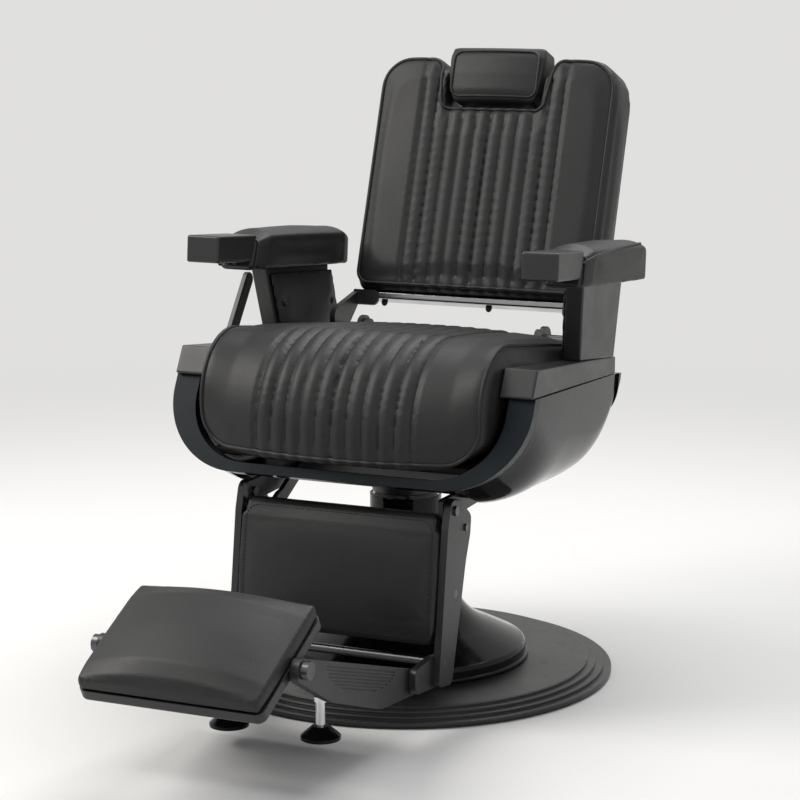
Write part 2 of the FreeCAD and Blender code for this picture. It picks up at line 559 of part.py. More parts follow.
# Satin bars that cap the two sides of the shell.
cap_outer = d.shell_half_width - d.cap_inset
cap_rear_outer = d.shell_rear_half_width + d.cap_rear_proud
cap = block(
    [(d.cap_inner, d.cap_front_y, d.cap_front_low), (cap_outer, d.cap_front_y, d.cap_front_low),
     (cap_outer, d.cap_front_y + d.cap_rake, d.cap_front_high),
     (d.cap_inner, d.cap_front_y + d.cap_rake, d.cap_front_high)],
    [(d.cap_inner, d.cap_rear_y, d.cap_rear_low), (cap_rear_outer, d.cap_rear_y, d.cap_rear_low),
     (cap_rear_outer, d.cap_rear_y, d.cap_rear_high), (d.cap_inner, d.cap_rear_y, d.cap_rear_high)])
cap = cap.makeFillet(d.cap_round, cap.Edges)
made("side_cap_left", cap)
made("side_cap_right", mirrored(cap))

# Seat: bent plywood board on the rails, channelled cushion that rolls over the front.
rod_inner = d.rail_inner - d.side_gap - d.hinge_thickness - d.side_gap - d.rod_thickness
board_top = d.board_level + d.board_thickness
board_rear = d.seat_rear - d.board_setback
tail_rise = d.board_rise * (board_rear - d.board_bend_y)
board = doc.addObject("PartDesign::Body", "seat_board_ply")
board_sketch = profile(board, "YZ_Plane", [
    (d.board_front, d.board_level, d.board_round),
    (d.board_bend_y, d.board_level, d.board_bend + d.board_thickness),
    (board_rear, d.board_level + tail_rise), (board_rear, board_top + tail_rise),
    (d.board_bend_y, board_top, d.board_bend), (d.board_front, board_top, d.board_round)])
board_pad = board.newObject("PartDesign::Pad", "seat_board_pad")
board_pad.Profile = board_sketch
board_pad.setExpression("Length", "2 * dims.board_half_width")
board_pad.Midplane = True
slots = []
slot_front = d.board_bend_y - d.rod_slot_front
for side in (-1, 1):
    middle = side * (rod_inner + d.rod_thickness / 2)
    notch = doc.addObject("Part::Box", "rod_slot")
    notch.setExpression("Length", "dims.rod_slot_width")
    notch.Width = board_rear - slot_front + d.board_thickness
    notch.Height = tail_rise + 3 * d.board_thickness
    notch.Placement = Placement(
        Vector(middle - d.rod_slot_width / 2, slot_front, d.board_level - d.board_thickness), Rotation())
    slots.append(notch)
slot_pair = doc.addObject("Part::Fuse", "rod_slots")
slot_pair.Base, slot_pair.Tool = slots
seat_board = doc.addObject("Part::Cut", "seat_board")
seat_board.Base = board
seat_board.Tool = slot_pair
node(seat_board, "seat_board")

under = board_top + d.seat_gap


def seat_section(x, share, seam):
    """Side-view outline of the cushion at one place across it."""
    bow = 1 - (x / d.seat_half_width) ** 2
    pull = d.seat_edge * share + seam
    front = d.seat_front - d.seat_bulge * bow + pull
    lift = d.seat_crown * bow - pull
    rear = d.seat_rear - d.seat_edge * share
    outward = max(0, abs(x) - d.seat_half_width + d.seat_corner_run) / d.seat_corner_run
    corner_lift = d.seat_corner_rise * outward ** 2
    points = [
        (front + d.seat_front_slant, under + corner_lift, d.seat_low_round),
        (front - d.seat_front_slant, d.seat_front_top + lift, d.seat_roll - corner_lift),
        (rear, d.seat_rear_top + lift, d.seat_rear_round),
        (rear, under + d.board_rise * (rear - d.board_bend_y)),
        (d.board_bend_y, under, d.board_bend - d.seat_gap)]
    edges = [g.toShape() for g in rounded(points)]
    wire = Part.Wire(edges)
    wire.rotate(Vector(0, 0, 0), Vector(1, 0, 0), 90)
    wire.rotate(Vector(0, 0, 0), Vector(0, 0, 1), 90)
    wire.translate(Vector(x, 0, 0))
    return wire


seat_wires = [seat_section(*place) for place in seam_stations(d.seat_half_width, d.seat_edge)]
made("seat_cushion", Part.makeLoft(seat_wires, True, True))

# Arms: leaning posts on the caps, grip blocks and stuffed pads on top.
arm_place = Placement(Vector(cap_outer - d.arm_inset, d.arm_front_y, d.arm_top_z), Rotation(
    Vector(0, 0, 1), d.arm_toe)) * Placement(Vector(0, 0, 0), Rotation(Vector(1, 0, 0), -d.arm_slope))
half_grip = d.grip_width / 2
lean_back = d.grip_slant / d.pad_height
grip_under = d.grip_length + lean_back * (d.pad_height + d.pad_drop - d.grip_height)
grip_over = d.grip_length + lean_back * (d.pad_height + d.pad_drop)
grip = block(*[
    [(x, 0, -d.grip_height), (x, grip_under, -d.grip_height), (x, grip_over, 0), (x, 0, 0)]
    for x in (-half_grip, half_grip)])
grip = grip.makeFillet(d.grip_round, grip.Edges)
grip.Placement = arm_place
made("arm_grip_left", Part.makeCompound([grip]).Solids[0])
made("arm_grip_right", mirrored(grip))

arm_pad = pillow(d.pad_width / 2, d.pad_length, d.pad_height, d.pad_crown, d.pad_draw, 0.1, 0, d.grip_slant)
pad_low = -d.pad_height - d.pad_drop
arm_pad.Placement = arm_place * Placement(Vector(0, d.grip_length + d.seat_gap, pad_low), Rotation())
made("arm_pad_left", arm_pad)
made("arm_pad_right", mirrored(arm_pad))

cap_fall = (d.cap_front_high - d.cap_rear_high) / (d.cap_rear_y - d.cap_front_y - d.cap_rake)


def cap_level(y):
    return d.cap_front_high - cap_fall * (y - d.cap_front_y - d.cap_rake)


def pad_under(x_shift, y):
    """Point under the arm pad, shifted across it, near the given depth."""
    along = (y - d.arm_front_y) / (math.cos(math.radians(d.arm_toe)) * math.cos(math.radians(d.arm_slope)))
    return arm_place.multVec(Vector(x_shift, along, pad_low - d.seat_gap))


def post_corners(inner, outer, front, rear, wing, top):
    """Four corners of the post's foot on the cap, or of its head under the pad.
    The inner side reaches further back than the outer one by wing."""
    corners = [(inner, front), (outer, front), (outer, rear), (inner, rear + wing)]
    if top:
        return [tuple(pad_under(d.post_shift + x, y)) for x, y in corners]
    return [(post_x + x, y, cap_level(y)) for x, y in corners]


half_post = d.post_thickness / 2
post_x = cap_outer - d.post_inset - half_post
post_top_front = max(d.post_top_front, d.arm_front_y + d.grip_length + d.post_clearance)
post = block(
    post_corners(-half_post, half_post, d.post_front, d.post_rear, d.post_wing, False),
    post_corners(-half_post, half_post, post_top_front, d.post_top_rear, d.post_top_wing, True))
post = post.makeFillet(d.post_round, post.Edges)
made("arm_post_left", post)
made("arm_post_right", mirrored(post))

near_face = -half_post - d.panel_gap
panel_low = post_corners(
    near_face - d.panel_thickness, near_face, d.post_front + d.panel_margin, d.panel_rear, 0, False)
panel_high = post_corners(
    near_face - d.panel_thickness, near_face, post_top_front + d.panel_margin, d.panel_top_rear, 0, True)


def up_panel(share):
    """Corners of the panel at a share of the way from the post's foot to its head."""
    lines = [(Vector(*low), Vector(*high)) for low, high in zip(panel_low, panel_high)]
    return [tuple(low + (high - low) * share) for low, high in lines]


panel = block(up_panel(d.panel_share), up_panel(1 - d.panel_share))
heel = Vector(*up_panel(d.panel_share)[2]) - Vector(d.panel_thickness / 2, 0, 0)
heel_edges = [e for e in panel.Edges if e.CenterOfMass.distanceToPoint(heel) < d.panel_thickness / 2]
panel = panel.makeFillet(d.panel_heel, heel_edges)
panel = panel.makeFillet(d.panel_edge, panel.Edges)
made("arm_panels", Part.makeCompound([panel, mirrored(panel)]))

hinge_inner = d.rail_inner - d.side_gap - d.hinge_thickness
both_sides("recline_pins", "recline_pin_radius", hinge_inner - d.small_round / 2,
           d.back_rail_half_width + d.pin_end, d.recline_y, d.recline_z)
leg_inner = rail_outer + d.side_gap
leg_outer = leg_inner + d.leg_plate_thickness
both_sides("leg_pivot_pins", "leg_pin_radius", d.rail_inner - d.pin_end, leg_outer + d.pin_end,
           d.leg_y, d.leg_z)

# Backrest: cushion and rear panel stand on a steel rail carried by two cranked hinge plates.
back_place = Placement(Vector(0, d.back_y, d.back_z), Rotation(Vector(1, 0, 0), 90 - d.back_lean))


def back_top(x):
    """Height of the cushion's top edge: rounded lobes at the sides, a notch for the headrest between."""
    reach = abs(x)
    lobe_in, lobe_out = d.notch_half_width + d.notch_slope, d.back_half_width
    if reach <= d.notch_half_width:
        return d.notch_height
    turn = d.back_lobe_radius
    outer_drop = max(0, reach - (lobe_out - turn))
    inner_drop = max(0, (lobe_in + 0.5 * turn) - reach)
    drop = turn - math.sqrt(turn ** 2 - min(outer_drop, turn) ** 2)
    drop += 0.5 * turn - math.sqrt((0.5 * turn) ** 2 - min(inner_drop, 0.5 * turn) ** 2)
    return d.back_height - drop


def back_section(x, share, seam):
    """Upright section of the back cushion at one place across it."""
    bow = 1 - (x / d.back_half_width) ** 2
    face = d.back_crown * bow - seam - d.back_edge * share
    top = back_top(x) - d.back_edge * 0.2 * share
    outward = max(0, abs(x) / d.back_half_width - d.back_corner_share) / (1 - d.back_corner_share)
    low = 0.5 * d.back_lobe_radius * outward
    points = [(low, -d.back_depth), (low, face, d.back_low_round), (top, face, d.back_top_round),
              (top, -d.back_depth)]
    wire = Part.Wire([g.toShape() for g in rounded(points)])
    wire.rotate(Vector(0, 0, 0), Vector(1, 0, 0), 90)
    wire.rotate(Vector(0, 0, 0), Vector(0, 0, 1), 90)
    wire.translate(Vector(x, 0, 0))
    return wire


lobe_marks = [d.notch_half_width + d.notch_slope * share for share in (0, 1, 2.2)]
lobe_marks += [d.back_half_width - d.back_lobe_radius * share for share in (0.55, 0.25)]
places = seam_stations(d.back_half_width, d.back_edge)
known = [place[0] for place in places]
for mark in lobe_marks:
    for x in (-mark, mark):
        if min(abs(x - k) for k in known) > 1.5:
            places.append((x, 0, 0))
back_wires = [back_section(*place) for place in sorted(places)]
back_cushion = Part.makeLoft(back_wires, True, True)
sleeve_outer = d.post_radius + d.running_fit + d.sleeve_wall
post_low = d.notch_height - d.post_depth
post_sides = (-d.post_spacing / 2, d.post_spacing / 2)
sleeve_places = [Vector(x, post_low, -d.head_setback) for x in post_sides]
for place in sleeve_places:
    back_cushion = back_cushion.cut(Part.makeCylinder(
        sleeve_outer + d.seat_gap, d.post_depth + d.tool_over, place, Vector(0, 1, 0)))
made("back_cushion", back_cushion, back_place)

sleeves = []
for place in sleeve_places:
    tube = Part.makeCylinder(sleeve_outer, d.post_depth, place, Vector(0, 1, 0))
    bored = Part.makeCylinder(d.post_radius + d.running_fit, d.post_depth, place, Vector(0, 1, 0))
    sleeves.append(tube.cut(bored))
made("headrest_sleeves", Part.makeCompound(sleeves), back_place)

shoulder = d.back_lobe_radius
panel_rear = -d.back_depth - d.seat_gap
panel_half = d.back_half_width - d.panel_inset
panel_top = d.back_height - d.panel_inset
notch_half = d.notch_half_width + d.panel_inset
notch_low = d.notch_height - d.panel_inset
panel_outline = Part.Wire([g.toShape() for g in rounded([
    (-panel_half, 0, d.panel_round), (panel_half, 0, d.panel_round), (panel_half, panel_top, shoulder),
    (notch_half + d.notch_slope, panel_top, 0.5 * shoulder), (notch_half, notch_low, d.notch_round),
    (-notch_half, notch_low, d.notch_round), (-notch_half - d.notch_slope, panel_top, 0.5 * shoulder),
    (-panel_half, panel_top, shoulder)])])
back_panel = Part.Face(panel_outline).extrude(Vector(0, 0, -d.back_panel_depth))
rear_edges = [e for e in back_panel.Edges if e.BoundBox.ZMax < d.running_fit - d.back_panel_depth]
back_panel = back_panel.makeFillet(0.4 * d.back_panel_depth, rear_edges)
back_panel.translate(Vector(0, 0, panel_rear))
made("back_panel", back_panel, back_place)

rail_low_y = -d.seat_gap - d.back_rail_height
rail_bar = Part.makeBox(2 * d.back_rail_half_width, d.back_rail_height, d.back_rail_depth, Vector(
    -d.back_rail_half_width, rail_low_y, -d.back_rail_inset - d.back_rail_depth))
long_edges = [e for e in rail_bar.Edges if e.BoundBox.XLength > d.back_rail_half_width]
rail_bar = rail_bar.makeFillet(d.back_rail_round, long_edges)
made("back_rail", rail_bar, back_place)



def side_plate(outline, bores, start):
    """Hinge plate cut to a side-view (y, z) outline with round bores, from x = start outwards."""
    shape = Part.Face(Part.Wire([g.toShape() for g in rounded(outline)])).extrude(
        Vector(0, 0, d.hinge_thickness))
    for y, z, radius in bores:
        shape = shape.cut(Part.makeCylinder(radius, d.hinge_thickness, Vector(y, z, 0)))
    shape.Placement = Placement(Vector(start, 0, 0), Rotation(Vector(1, 1, 1), 120))
    return shape


hinge_x = d.back_rail_half_width - d.hinge_thickness
flange_rear = d.running_fit - d.back_rail_inset
flange_low = rail_low_y - d.hinge_flange_drop
flange_high = rail_low_y + d.back_rail_height
flange_head = back_place.multVec(Vector(0, flange_high, flange_rear))
flange_foot = back_place.multVec(Vector(0, flange_low, flange_rear))
shaft_bore = (d.recline_y, d.recline_z, d.recline_pin_radius + d.running_fit)
hinge_plate = side_plate([
    (d.recline_y - ear, d.recline_z - d.hinge_front_drop, d.hinge_round),
    (d.recline_y - ear, d.recline_z + d.hinge_rise, d.hinge_round),
    (flange_head.y, flange_head.z, d.small_round), (flange_foot.y, flange_foot.z, d.small_round),
    (d.recline_y + ear, d.recline_z - d.hinge_front_drop, d.hinge_round)], [shaft_bore], hinge_x)
flange = Part.Face(Part.Wire([g.toShape() for g in rounded([
    (hinge_x - d.hinge_flange, flange_low, d.hinge_flange_round),
    (d.back_rail_half_width, flange_low, d.small_round),
    (d.back_rail_half_width, flange_high, d.small_round),
    (hinge_x - d.hinge_flange, flange_high, d.hinge_flange_round)])])).extrude(
        Vector(0, 0, d.hinge_flange_thickness))
flange.Placement = back_place * Placement(Vector(0, 0, flange_rear), Rotation())
hinge_plate = hinge_plate.fuse(flange).removeSplitter()

crank_end = Vector(d.crank_y - d.recline_y, d.crank_z - d.recline_z, 0)
along = Vector(crank_end).normalize()
across = Vector(-along.y, along.x, 0)


def crank_corner(spot, s, t, radius):
    """Corner of the crank plate, s along it and t across it from one of its pins."""
    p = Vector(d.recline_y, d.recline_z, 0) + spot + along * s + across * t
    return (p.x, p.y, radius)


shaft_boss, boss = d.shaft_boss, d.crank_boss
start = Vector(0, 0, 0)
crank_plate = side_plate(
    [crank_corner(start, -shaft_boss, -shaft_boss, shaft_boss - d.small_round),
     crank_corner(crank_end, boss, -boss, d.crank_round), crank_corner(crank_end, boss, boss, d.crank_round),
     crank_corner(start, -shaft_boss, shaft_boss, shaft_boss - d.small_round)],
    [shaft_bore, (d.crank_y, d.crank_z, d.crank_pin_radius + d.running_fit)], hinge_inner)
hinge_arm = Part.makeCompound([hinge_plate, crank_plate])
made("hinge_arm_left", hinge_arm)
made("hinge_arm_right", mirrored(hinge_arm))
both_sides("crank_pins", "crank_pin_radius", rod_inner - d.short_pin_end, d.rail_inner - d.side_gap,
           d.crank_y, d.crank_z)

# Headrest: stuffed pad on two chrome posts that slide in the sleeves.
head_low = d.notch_height + d.head_gap
head = pillow(d.head_width / 2, d.head_height, d.head_depth, d.head_crown, d.head_draw, 0.2, d.head_flare)
head_base = d.head_proud - d.head_depth
head_place = back_place * Placement(Vector(0, head_low, head_base), Rotation())
post_into = 0.45 * d.head_height
for x in post_sides:
    head = head.cut(Part.makeCylinder(
        d.post_radius + d.running_fit, post_into + 2 * d.post_lift,
        Vector(x, -d.post_lift, -d.head_setback - head_base), Vector(0, 1, 0)))
made("headrest_pad", head, head_place)
post_length = d.post_depth + d.head_gap + post_into - 2 * d.post_lift
posts = [Part.makeCylinder(d.post_radius, post_length, place + Vector(0, d.post_lift, 0), Vector(0, 1, 0))
         for place in sleeve_places]
made("headrest_posts", Part.makeCompound(posts), back_place)

# Leg rest: two side plates hung from the rails, with the calf pad and cross rods between them.
lean = math.radians(d.leg_lean)


def leg_point(s, t):
    """Side-view point s down the leg and t behind it, from the leg pivot."""
    y = d.leg_y - s * math.sin(lean) + t * math.cos(lean)
    return (y, d.leg_z - s * math.cos(lean) - t * math.sin(lean))


toe = (d.toe_y, d.toe_z)
back_rod_t = d.calf_front + d.calf_depth + d.seat_gap + d.calf_board + d.cross_rod_radius
back_rod = leg_point(0.62 * d.calf_bottom, back_rod_t)
low_rod = leg_point(d.low_rod_s, d.low_rod_t)
rod_hole = d.cross_rod_radius + d.running_fit
knob_round = d.leg_ear - d.small_round / 2
leg_outline = [
    leg_point(-d.leg_ear, -d.leg_ear) + (knob_round,), leg_point(-d.leg_ear, d.leg_ear) + (knob_round,),
    leg_point(0.04 * d.leg_length, d.leg_back) + (d.leg_heel_round,),
    leg_point(0.15 * d.leg_length, d.leg_back) + (d.leg_bend,),
    leg_point(0.3 * d.leg_length, d.leg_waist) + (d.leg_waist_bend,),
    leg_point(d.leg_length, d.leg_foot_back) + (d.leg_round,),
    leg_point(d.leg_length, d.leg_front) + (d.leg_round,),
    leg_point(0.1 * d.leg_length, d.leg_front) + (d.leg_bend,)]
knee_hole = d.knee_pin_radius + d.running_fit
pair("leg_plate", leg_outline,
     [(d.leg_y, d.leg_z, d.leg_pin_radius + d.running_fit), (d.knee_y, d.knee_z, knee_hole),
      back_rod + (rod_hole,), low_rod + (rod_hole,)], "leg_plate_thickness", leg_inner)

rods = doc.addObject("Part::Compound", "cross_rods")
rods.Links = [rod_x("cross_rod_back", "cross_rod_radius", -leg_outer, leg_outer, *back_rod),
              rod_x("cross_rod_low", "cross_rod_radius", -leg_outer, leg_outer, *low_rod)]
node(rods, "cross_rods")
both_sides("knee_pins", "knee_pin_radius", rod_inner - d.short_pin_end, leg_outer + d.short_pin_end,
           d.knee_y, d.knee_z)

leg_turn = Rotation(Vector(1, 0, 0), -90 - d.leg_lean)
notch_wide = leg_outer - d.rail_inner
notch_corner = Placement(Vector(0, d.leg_y, d.leg_z), leg_turn)
rail_boxes = []
for x in (-leg_outer, d.rail_inner - d.seat_gap):
    rail_box = Part.makeBox(notch_wide + d.seat_gap, 2 * d.calf_notch, 4 * d.calf_depth,
                            Vector(x, -d.calf_notch, -2 * d.calf_depth))
    rail_box.Placement = notch_corner
    rail_boxes.append(rail_box)
rail_notches = Part.makeCompound(rail_boxes)
calf_start = leg_point(d.calf_top, d.calf_front + d.calf_depth)
calf = pillow(d.calf_half_width, d.calf_bottom - d.calf_top, d.calf_depth - d.calf_crown, d.calf_crown,
              d.calf_draw, 0.14)
calf.rotate(Vector(0, 0, 0), Vector(0, 1, 0), 180)
calf.Placement = Placement(Vector(0, *calf_start), leg_turn) * calf.Placement
made("calf_pad", calf.cut(rail_notches))
board_start = leg_point(d.calf_top + d.calf_inset, d.calf_front + d.calf_depth + d.seat_gap + d.calf_board)
half_board = leg_inner - d.seat_gap
calf_board = Part.makeBox(2 * half_board, d.calf_bottom - d.calf_top - 2 * d.calf_inset, d.calf_board,
                          Vector(-half_board, 0, -d.calf_board))
calf_board.Placement = Placement(Vector(0, *board_start), leg_turn) * calf_board.Placement
made("calf_board", calf_board.cut(rail_notches))

boss = d.toe_boss
bracket_back = d.leg_foot_back - d.bracket_back_inset
paired("foot_brackets", [
    (d.toe_y - boss, d.toe_z - boss, d.toe_low_round), (d.toe_y - boss, d.toe_z + boss, d.toe_high_round),
    leg_point(d.bracket_high_s, d.leg_front) + (d.bracket_round,),
    leg_point(d.bracket_high_s, bracket_back) + (d.bracket_round,),
    leg_point(d.leg_length, bracket_back) + (d.bracket_round,)],
    [toe + (d.toe_pin_radius + d.running_fit,), low_rod + (rod_hole,)],
    "bracket_thickness", leg_inner - d.bracket_thickness)

# Footrest: crescent arms on toe pins, step plate with two stand feet, tipping tread at the front.
foot_outer = d.arm_inner + d.foot_arm_thickness
both_sides("toe_pins", "toe_pin_radius", d.arm_inner - d.short_pin_end, leg_inner - d.side_gap, *toe)
chord = Vector(d.tread_y - d.toe_y, d.tread_z - d.toe_z, 0)
reach = chord.Length
along = Vector(chord).normalize()
upward = Vector(-along.y, along.x, 0)
if upward.y < 0:
    upward = upward * -1


def arm_point(s, t):
    """Side-view point s along the footrest arm from the toe pin, t above the line of its pins."""
    p = Vector(d.toe_y, d.toe_z, 0) + along * s + upward * t
    return (p.x, p.y)


nose = d.arm_nose
nose_round = nose - d.small_round
arm_outline = [
    arm_point(-d.arm_heel, -d.arm_tail) + (d.arm_heel_round,),
    arm_point(-d.arm_heel, d.arm_rise) + (d.arm_top_round,),
    arm_point(reach + nose, d.arm_rise) + (nose_round,), arm_point(reach + nose, -nose) + (nose_round,),
    arm_point(0.72 * reach, -0.94 * d.arm_drop) + (d.arm_front_bend,),
    arm_point(0.28 * reach, -1.07 * d.arm_drop) + (d.arm_rear_bend,)]
arm_holes = [toe + (d.toe_pin_radius + d.running_fit,),
             (d.tread_y, d.tread_z, d.tread_pin_radius + d.running_fit)]
groove_span = 0.62 * reach
arm_sides = [("right", -foot_outer, -foot_outer), ("left", d.arm_inner, foot_outer - d.groove_depth)]
for side, start, face in arm_sides:
    rough = plate(f"foot_arm_{side}_cast", arm_outline, arm_holes, "dims.foot_arm_thickness", start)
    cuts = []
    for i in range(int(d.groove_count)):
        level = d.arm_rise - d.groove_top - i * d.groove_pitch
        share = 1 - (i / d.groove_count) ** 2
        run = groove_span * math.sqrt(share)
        low = arm_point(0.5 * (reach - run), level)
        high = arm_point(0.5 * (reach + run), level)
        box = Part.makeBox(d.groove_depth, run, d.groove_width, Vector(0, 0, -d.groove_width / 2))
        angle = math.degrees(math.atan2(high[1] - low[1], high[0] - low[0]))
        box.rotate(Vector(0, 0, 0), Vector(1, 0, 0), angle)
        box.translate(Vector(face, low[0], low[1]))
        cuts.append(box)
    groove_set = doc.addObject("Part::Feature", f"foot_arm_{side}_grooves")
    groove_set.Shape = Part.makeCompound(cuts)
    cast = doc.addObject("Part::Cut", f"foot_arm_{side}")
    cast.Base = rough
    cast.Tool = groove_set
    node(cast, f"foot_arm_{side}")

plate_half = d.arm_inner
step_low = [arm_point(d.step_rear_s, -d.step_drop), arm_point(d.step_front_s, -d.step_drop)]
step_high = [arm_point(d.step_front_s, d.step_thickness - d.step_drop),
             arm_point(d.step_rear_s, d.step_thickness - d.step_drop)]
node(plate("step_plate", step_low + step_high, [], "2 * dims.arm_inner", -plate_half), "step_plate")

stems, feet = [], []
foot_s = (d.foot_y - d.toe_y + d.step_drop * upward.x) / along.x
stem_clearance = d.stem_radius * abs(along.y / along.x) + d.running_fit
step_under = arm_point(foot_s, -d.step_drop)[1] - stem_clearance
foot_top = d.foot_level + d.foot_height
for x in (-d.foot_x, d.foot_x):
    stem = Part.makeCylinder(d.stem_radius, step_under - foot_top, Vector(x, d.foot_y, foot_top))
    collar = Part.makeCylinder(
        d.stem_collar, d.collar_height, Vector(x, d.foot_y, 0.5 * (foot_top + step_under)))
    stems.append(stem.fuse(collar).removeSplitter())
    cone = Part.makeCone(d.foot_radius, d.foot_neck, d.foot_height - d.foot_rim,
                         Vector(x, d.foot_y, d.foot_level + d.foot_rim))
    rim_disc = Part.makeCylinder(d.foot_radius, d.foot_rim, Vector(x, d.foot_y, d.foot_level))
    feet.append(cone.fuse(rim_disc).removeSplitter())
made("stand_stems", Part.makeCompound(stems))
made("stand_feet", Part.makeCompound(feet))

tread_pins = []
for sign in (1, -1):
    low, high = sorted((sign * (d.tread_half_width - d.tread_pin_bite), sign * foot_outer))
    shaft = Part.makeCylinder(
        d.tread_pin_radius, high - low, Vector(low, d.tread_y, d.tread_z), Vector(1, 0, 0))
    knob_start = foot_outer if sign > 0 else -foot_outer - d.tread_knob_width
    knob = Part.makeCylinder(
        d.tread_knob, d.tread_knob_width, Vector(knob_start, d.tread_y, d.tread_z), Vector(1, 0, 0))
    tread_pins.append(shaft.fuse(knob).removeSplitter())
made("tread_pins", Part.makeCompound(tread_pins))

tread_place = Placement(Vector(0, d.tread_y, d.tread_z), Rotation(Vector(1, 0, 0), d.tread_tilt))
half_tread = d.tread_length / 2
pan_low = -d.tread_drop
pan_outline = Part.Wire([g.toShape() for g in rounded([
    (-d.tread_half_width, -half_tread, d.pan_round), (d.tread_half_width, -half_tread, d.pan_round),
    (d.tread_half_width, half_tread, d.pan_round), (-d.tread_half_width, half_tread, d.pan_round)])])
pan = Part.Face(pan_outline).extrude(Vector(0, 0, d.pan_depth))
pan.translate(Vector(0, 0, pan_low))
pan = pan.makeFillet(d.pan_low_round, [e for e in pan.Edges if e.BoundBox.ZMax < pan_low + d.running_fit])
tray_half = d.tread_half_width - d.pan_cheek
pan = pan.cut(Part.makeBox(2 * tray_half, d.tread_length - 2 * d.pan_floor, d.pan_depth, Vector(
    -tray_half, d.pan_floor - half_tread, pan_low + d.pan_floor)))
for x in (-d.tread_half_width, tray_half + d.pan_floor):
    pan = pan.cut(Part.makeCylinder(
        d.tread_pin_radius + d.running_fit, d.pan_cheek - d.pan_floor, Vector(x, 0, 0), Vector(1, 0, 0)))
made("tread_pan", pan, tread_place)

tread_pad = pillow(d.tread_half_width - d.tread_inset, d.tread_length - 2 * d.tread_inset, d.tread_pad,
                   d.tread_crown, d.tread_draw, 0.16)
made("tread_cushion", tread_pad, tread_place * Placement(
    Vector(0, d.tread_inset - half_tread, pan_low + d.pan_depth + d.seat_gap), Rotation()))

# Recline lever outside the shell on the sitter's right.
lever_x = d.shell_half_width + d.lever_standoff
lever_turn = Placement(Vector(-lever_x, d.lever_y, d.lever_z), Rotation(Vector(1, 0, 0), -d.lever_lean))
lever_half = d.lever_width / 2
lever_end = lever_half - d.small_round / 2
lever_outline = Part.Wire([g.toShape() for g in rounded([
    (-lever_half, -lever_half, lever_end), (lever_half, -lever_half, lever_end),
    (lever_half, d.lever_length, lever_end), (-lever_half, d.lever_length, lever_end)])])
lever = Part.Face(lever_outline)
lever.rotate(Vector(0, 0, 0), Vector(1, 0, 0), 90)
lever.rotate(Vector(0, 0, 0), Vector(0, 0, 1), 90)
lever = lever.extrude(Vector(-d.lever_thickness, 0, 0))
made("recline_lever", lever.makeFillet(d.lever_round, lever.Edges), lever_turn)
outside = shell_loft(bezel_share, 1 - trim_share, sections, -d.seat_gap, -d.seat_gap)
boss_bar = Part.makeCylinder(d.lever_hub_radius, d.shell_wall + lever_x - d.shell_rear_half_width, Vector(
    d.seat_gap - lever_x, d.lever_y, d.lever_z), Vector(1, 0, 0))
made("lever_boss", boss_bar.cut(outside))

# Push rods that swing the leg rest up as the backrest goes down.
rod_line = Vector(d.crank_y - d.knee_y, d.crank_z - d.knee_z, 0)
rod_dir = Vector(rod_line).normalize()
rod_side = Vector(-rod_dir.y, rod_dir.x, 0)


def rod_point(s, t):
    p = Vector(d.knee_y, d.knee_z, 0) + rod_dir * s + rod_side * t
    return (p.x, p.y)


half_rod = d.rod_width / 2
eye = d.rod_eye
eye_round = eye - d.small_round / 2
tip_round = half_rod - d.small_round / 2
rod_end = rod_line.Length + half_rod
rod_outline = [
    rod_point(-eye, -eye) + (eye_round,), rod_point(eye + d.rod_neck, -eye) + (d.rod_neck,),
    rod_point(eye + d.rod_shoulder, -half_rod) + (d.rod_neck,), rod_point(rod_end, -half_rod) + (tip_round,),
    rod_point(rod_end, half_rod) + (tip_round,), rod_point(eye + d.rod_shoulder, half_rod) + (d.rod_neck,),
    rod_point(eye + d.rod_neck, eye) + (d.rod_neck,), rod_point(-eye, eye) + (eye_round,)]
paired("push_rods", rod_outline,
       [(d.knee_y, d.knee_z, d.knee_pin_radius + d.rod_slack),
        (d.crank_y, d.crank_z, d.crank_pin_radius + d.running_fit)], "rod_thickness", rod_inner)

# Recompute, check every object and write each piece to its own file.
doc.recompute()
faults = [f"{o.Label}: {o.State}" for o in doc.Objects if "Invalid" in o.State or "Error" in o.State]
for item in nodes:
    if item.Shape.isNull() or not item.Shape.isValid() or not item.Shape.Solids:
        faults.append(f"{item.Label}: shape is null, not valid or has no solid")
if faults:
    raise RuntimeError("; ".join(faults))
os.makedirs("parts", exist_ok=True)
for item in nodes:
    item.Shape.exportStep(f"parts/{item.Label}.step")
print(len(nodes), "pieces written")
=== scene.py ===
import math

import bmesh
import bpy
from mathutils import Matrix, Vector
from mathutils.bvhtree import BVHTree


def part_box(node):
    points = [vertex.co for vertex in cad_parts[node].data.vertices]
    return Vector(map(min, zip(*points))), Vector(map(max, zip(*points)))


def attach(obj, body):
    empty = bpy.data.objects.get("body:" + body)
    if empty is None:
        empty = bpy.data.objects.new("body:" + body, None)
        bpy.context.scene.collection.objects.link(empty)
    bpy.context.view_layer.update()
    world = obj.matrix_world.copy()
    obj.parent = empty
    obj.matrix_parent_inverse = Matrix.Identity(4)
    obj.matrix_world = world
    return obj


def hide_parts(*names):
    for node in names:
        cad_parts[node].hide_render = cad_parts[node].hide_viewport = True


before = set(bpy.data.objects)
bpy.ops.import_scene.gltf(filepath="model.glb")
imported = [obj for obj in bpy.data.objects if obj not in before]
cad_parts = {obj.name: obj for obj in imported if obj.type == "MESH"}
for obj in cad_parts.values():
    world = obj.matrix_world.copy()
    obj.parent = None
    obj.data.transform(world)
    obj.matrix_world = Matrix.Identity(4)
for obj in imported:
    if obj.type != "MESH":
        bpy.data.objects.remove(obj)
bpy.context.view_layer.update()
scene = bpy.context.scene

# Round base: a pressed steel disc with a stepped rim, powder coated satin black.
# It stands on a rubber pad glued under it, and carries the whole chair on the floor.


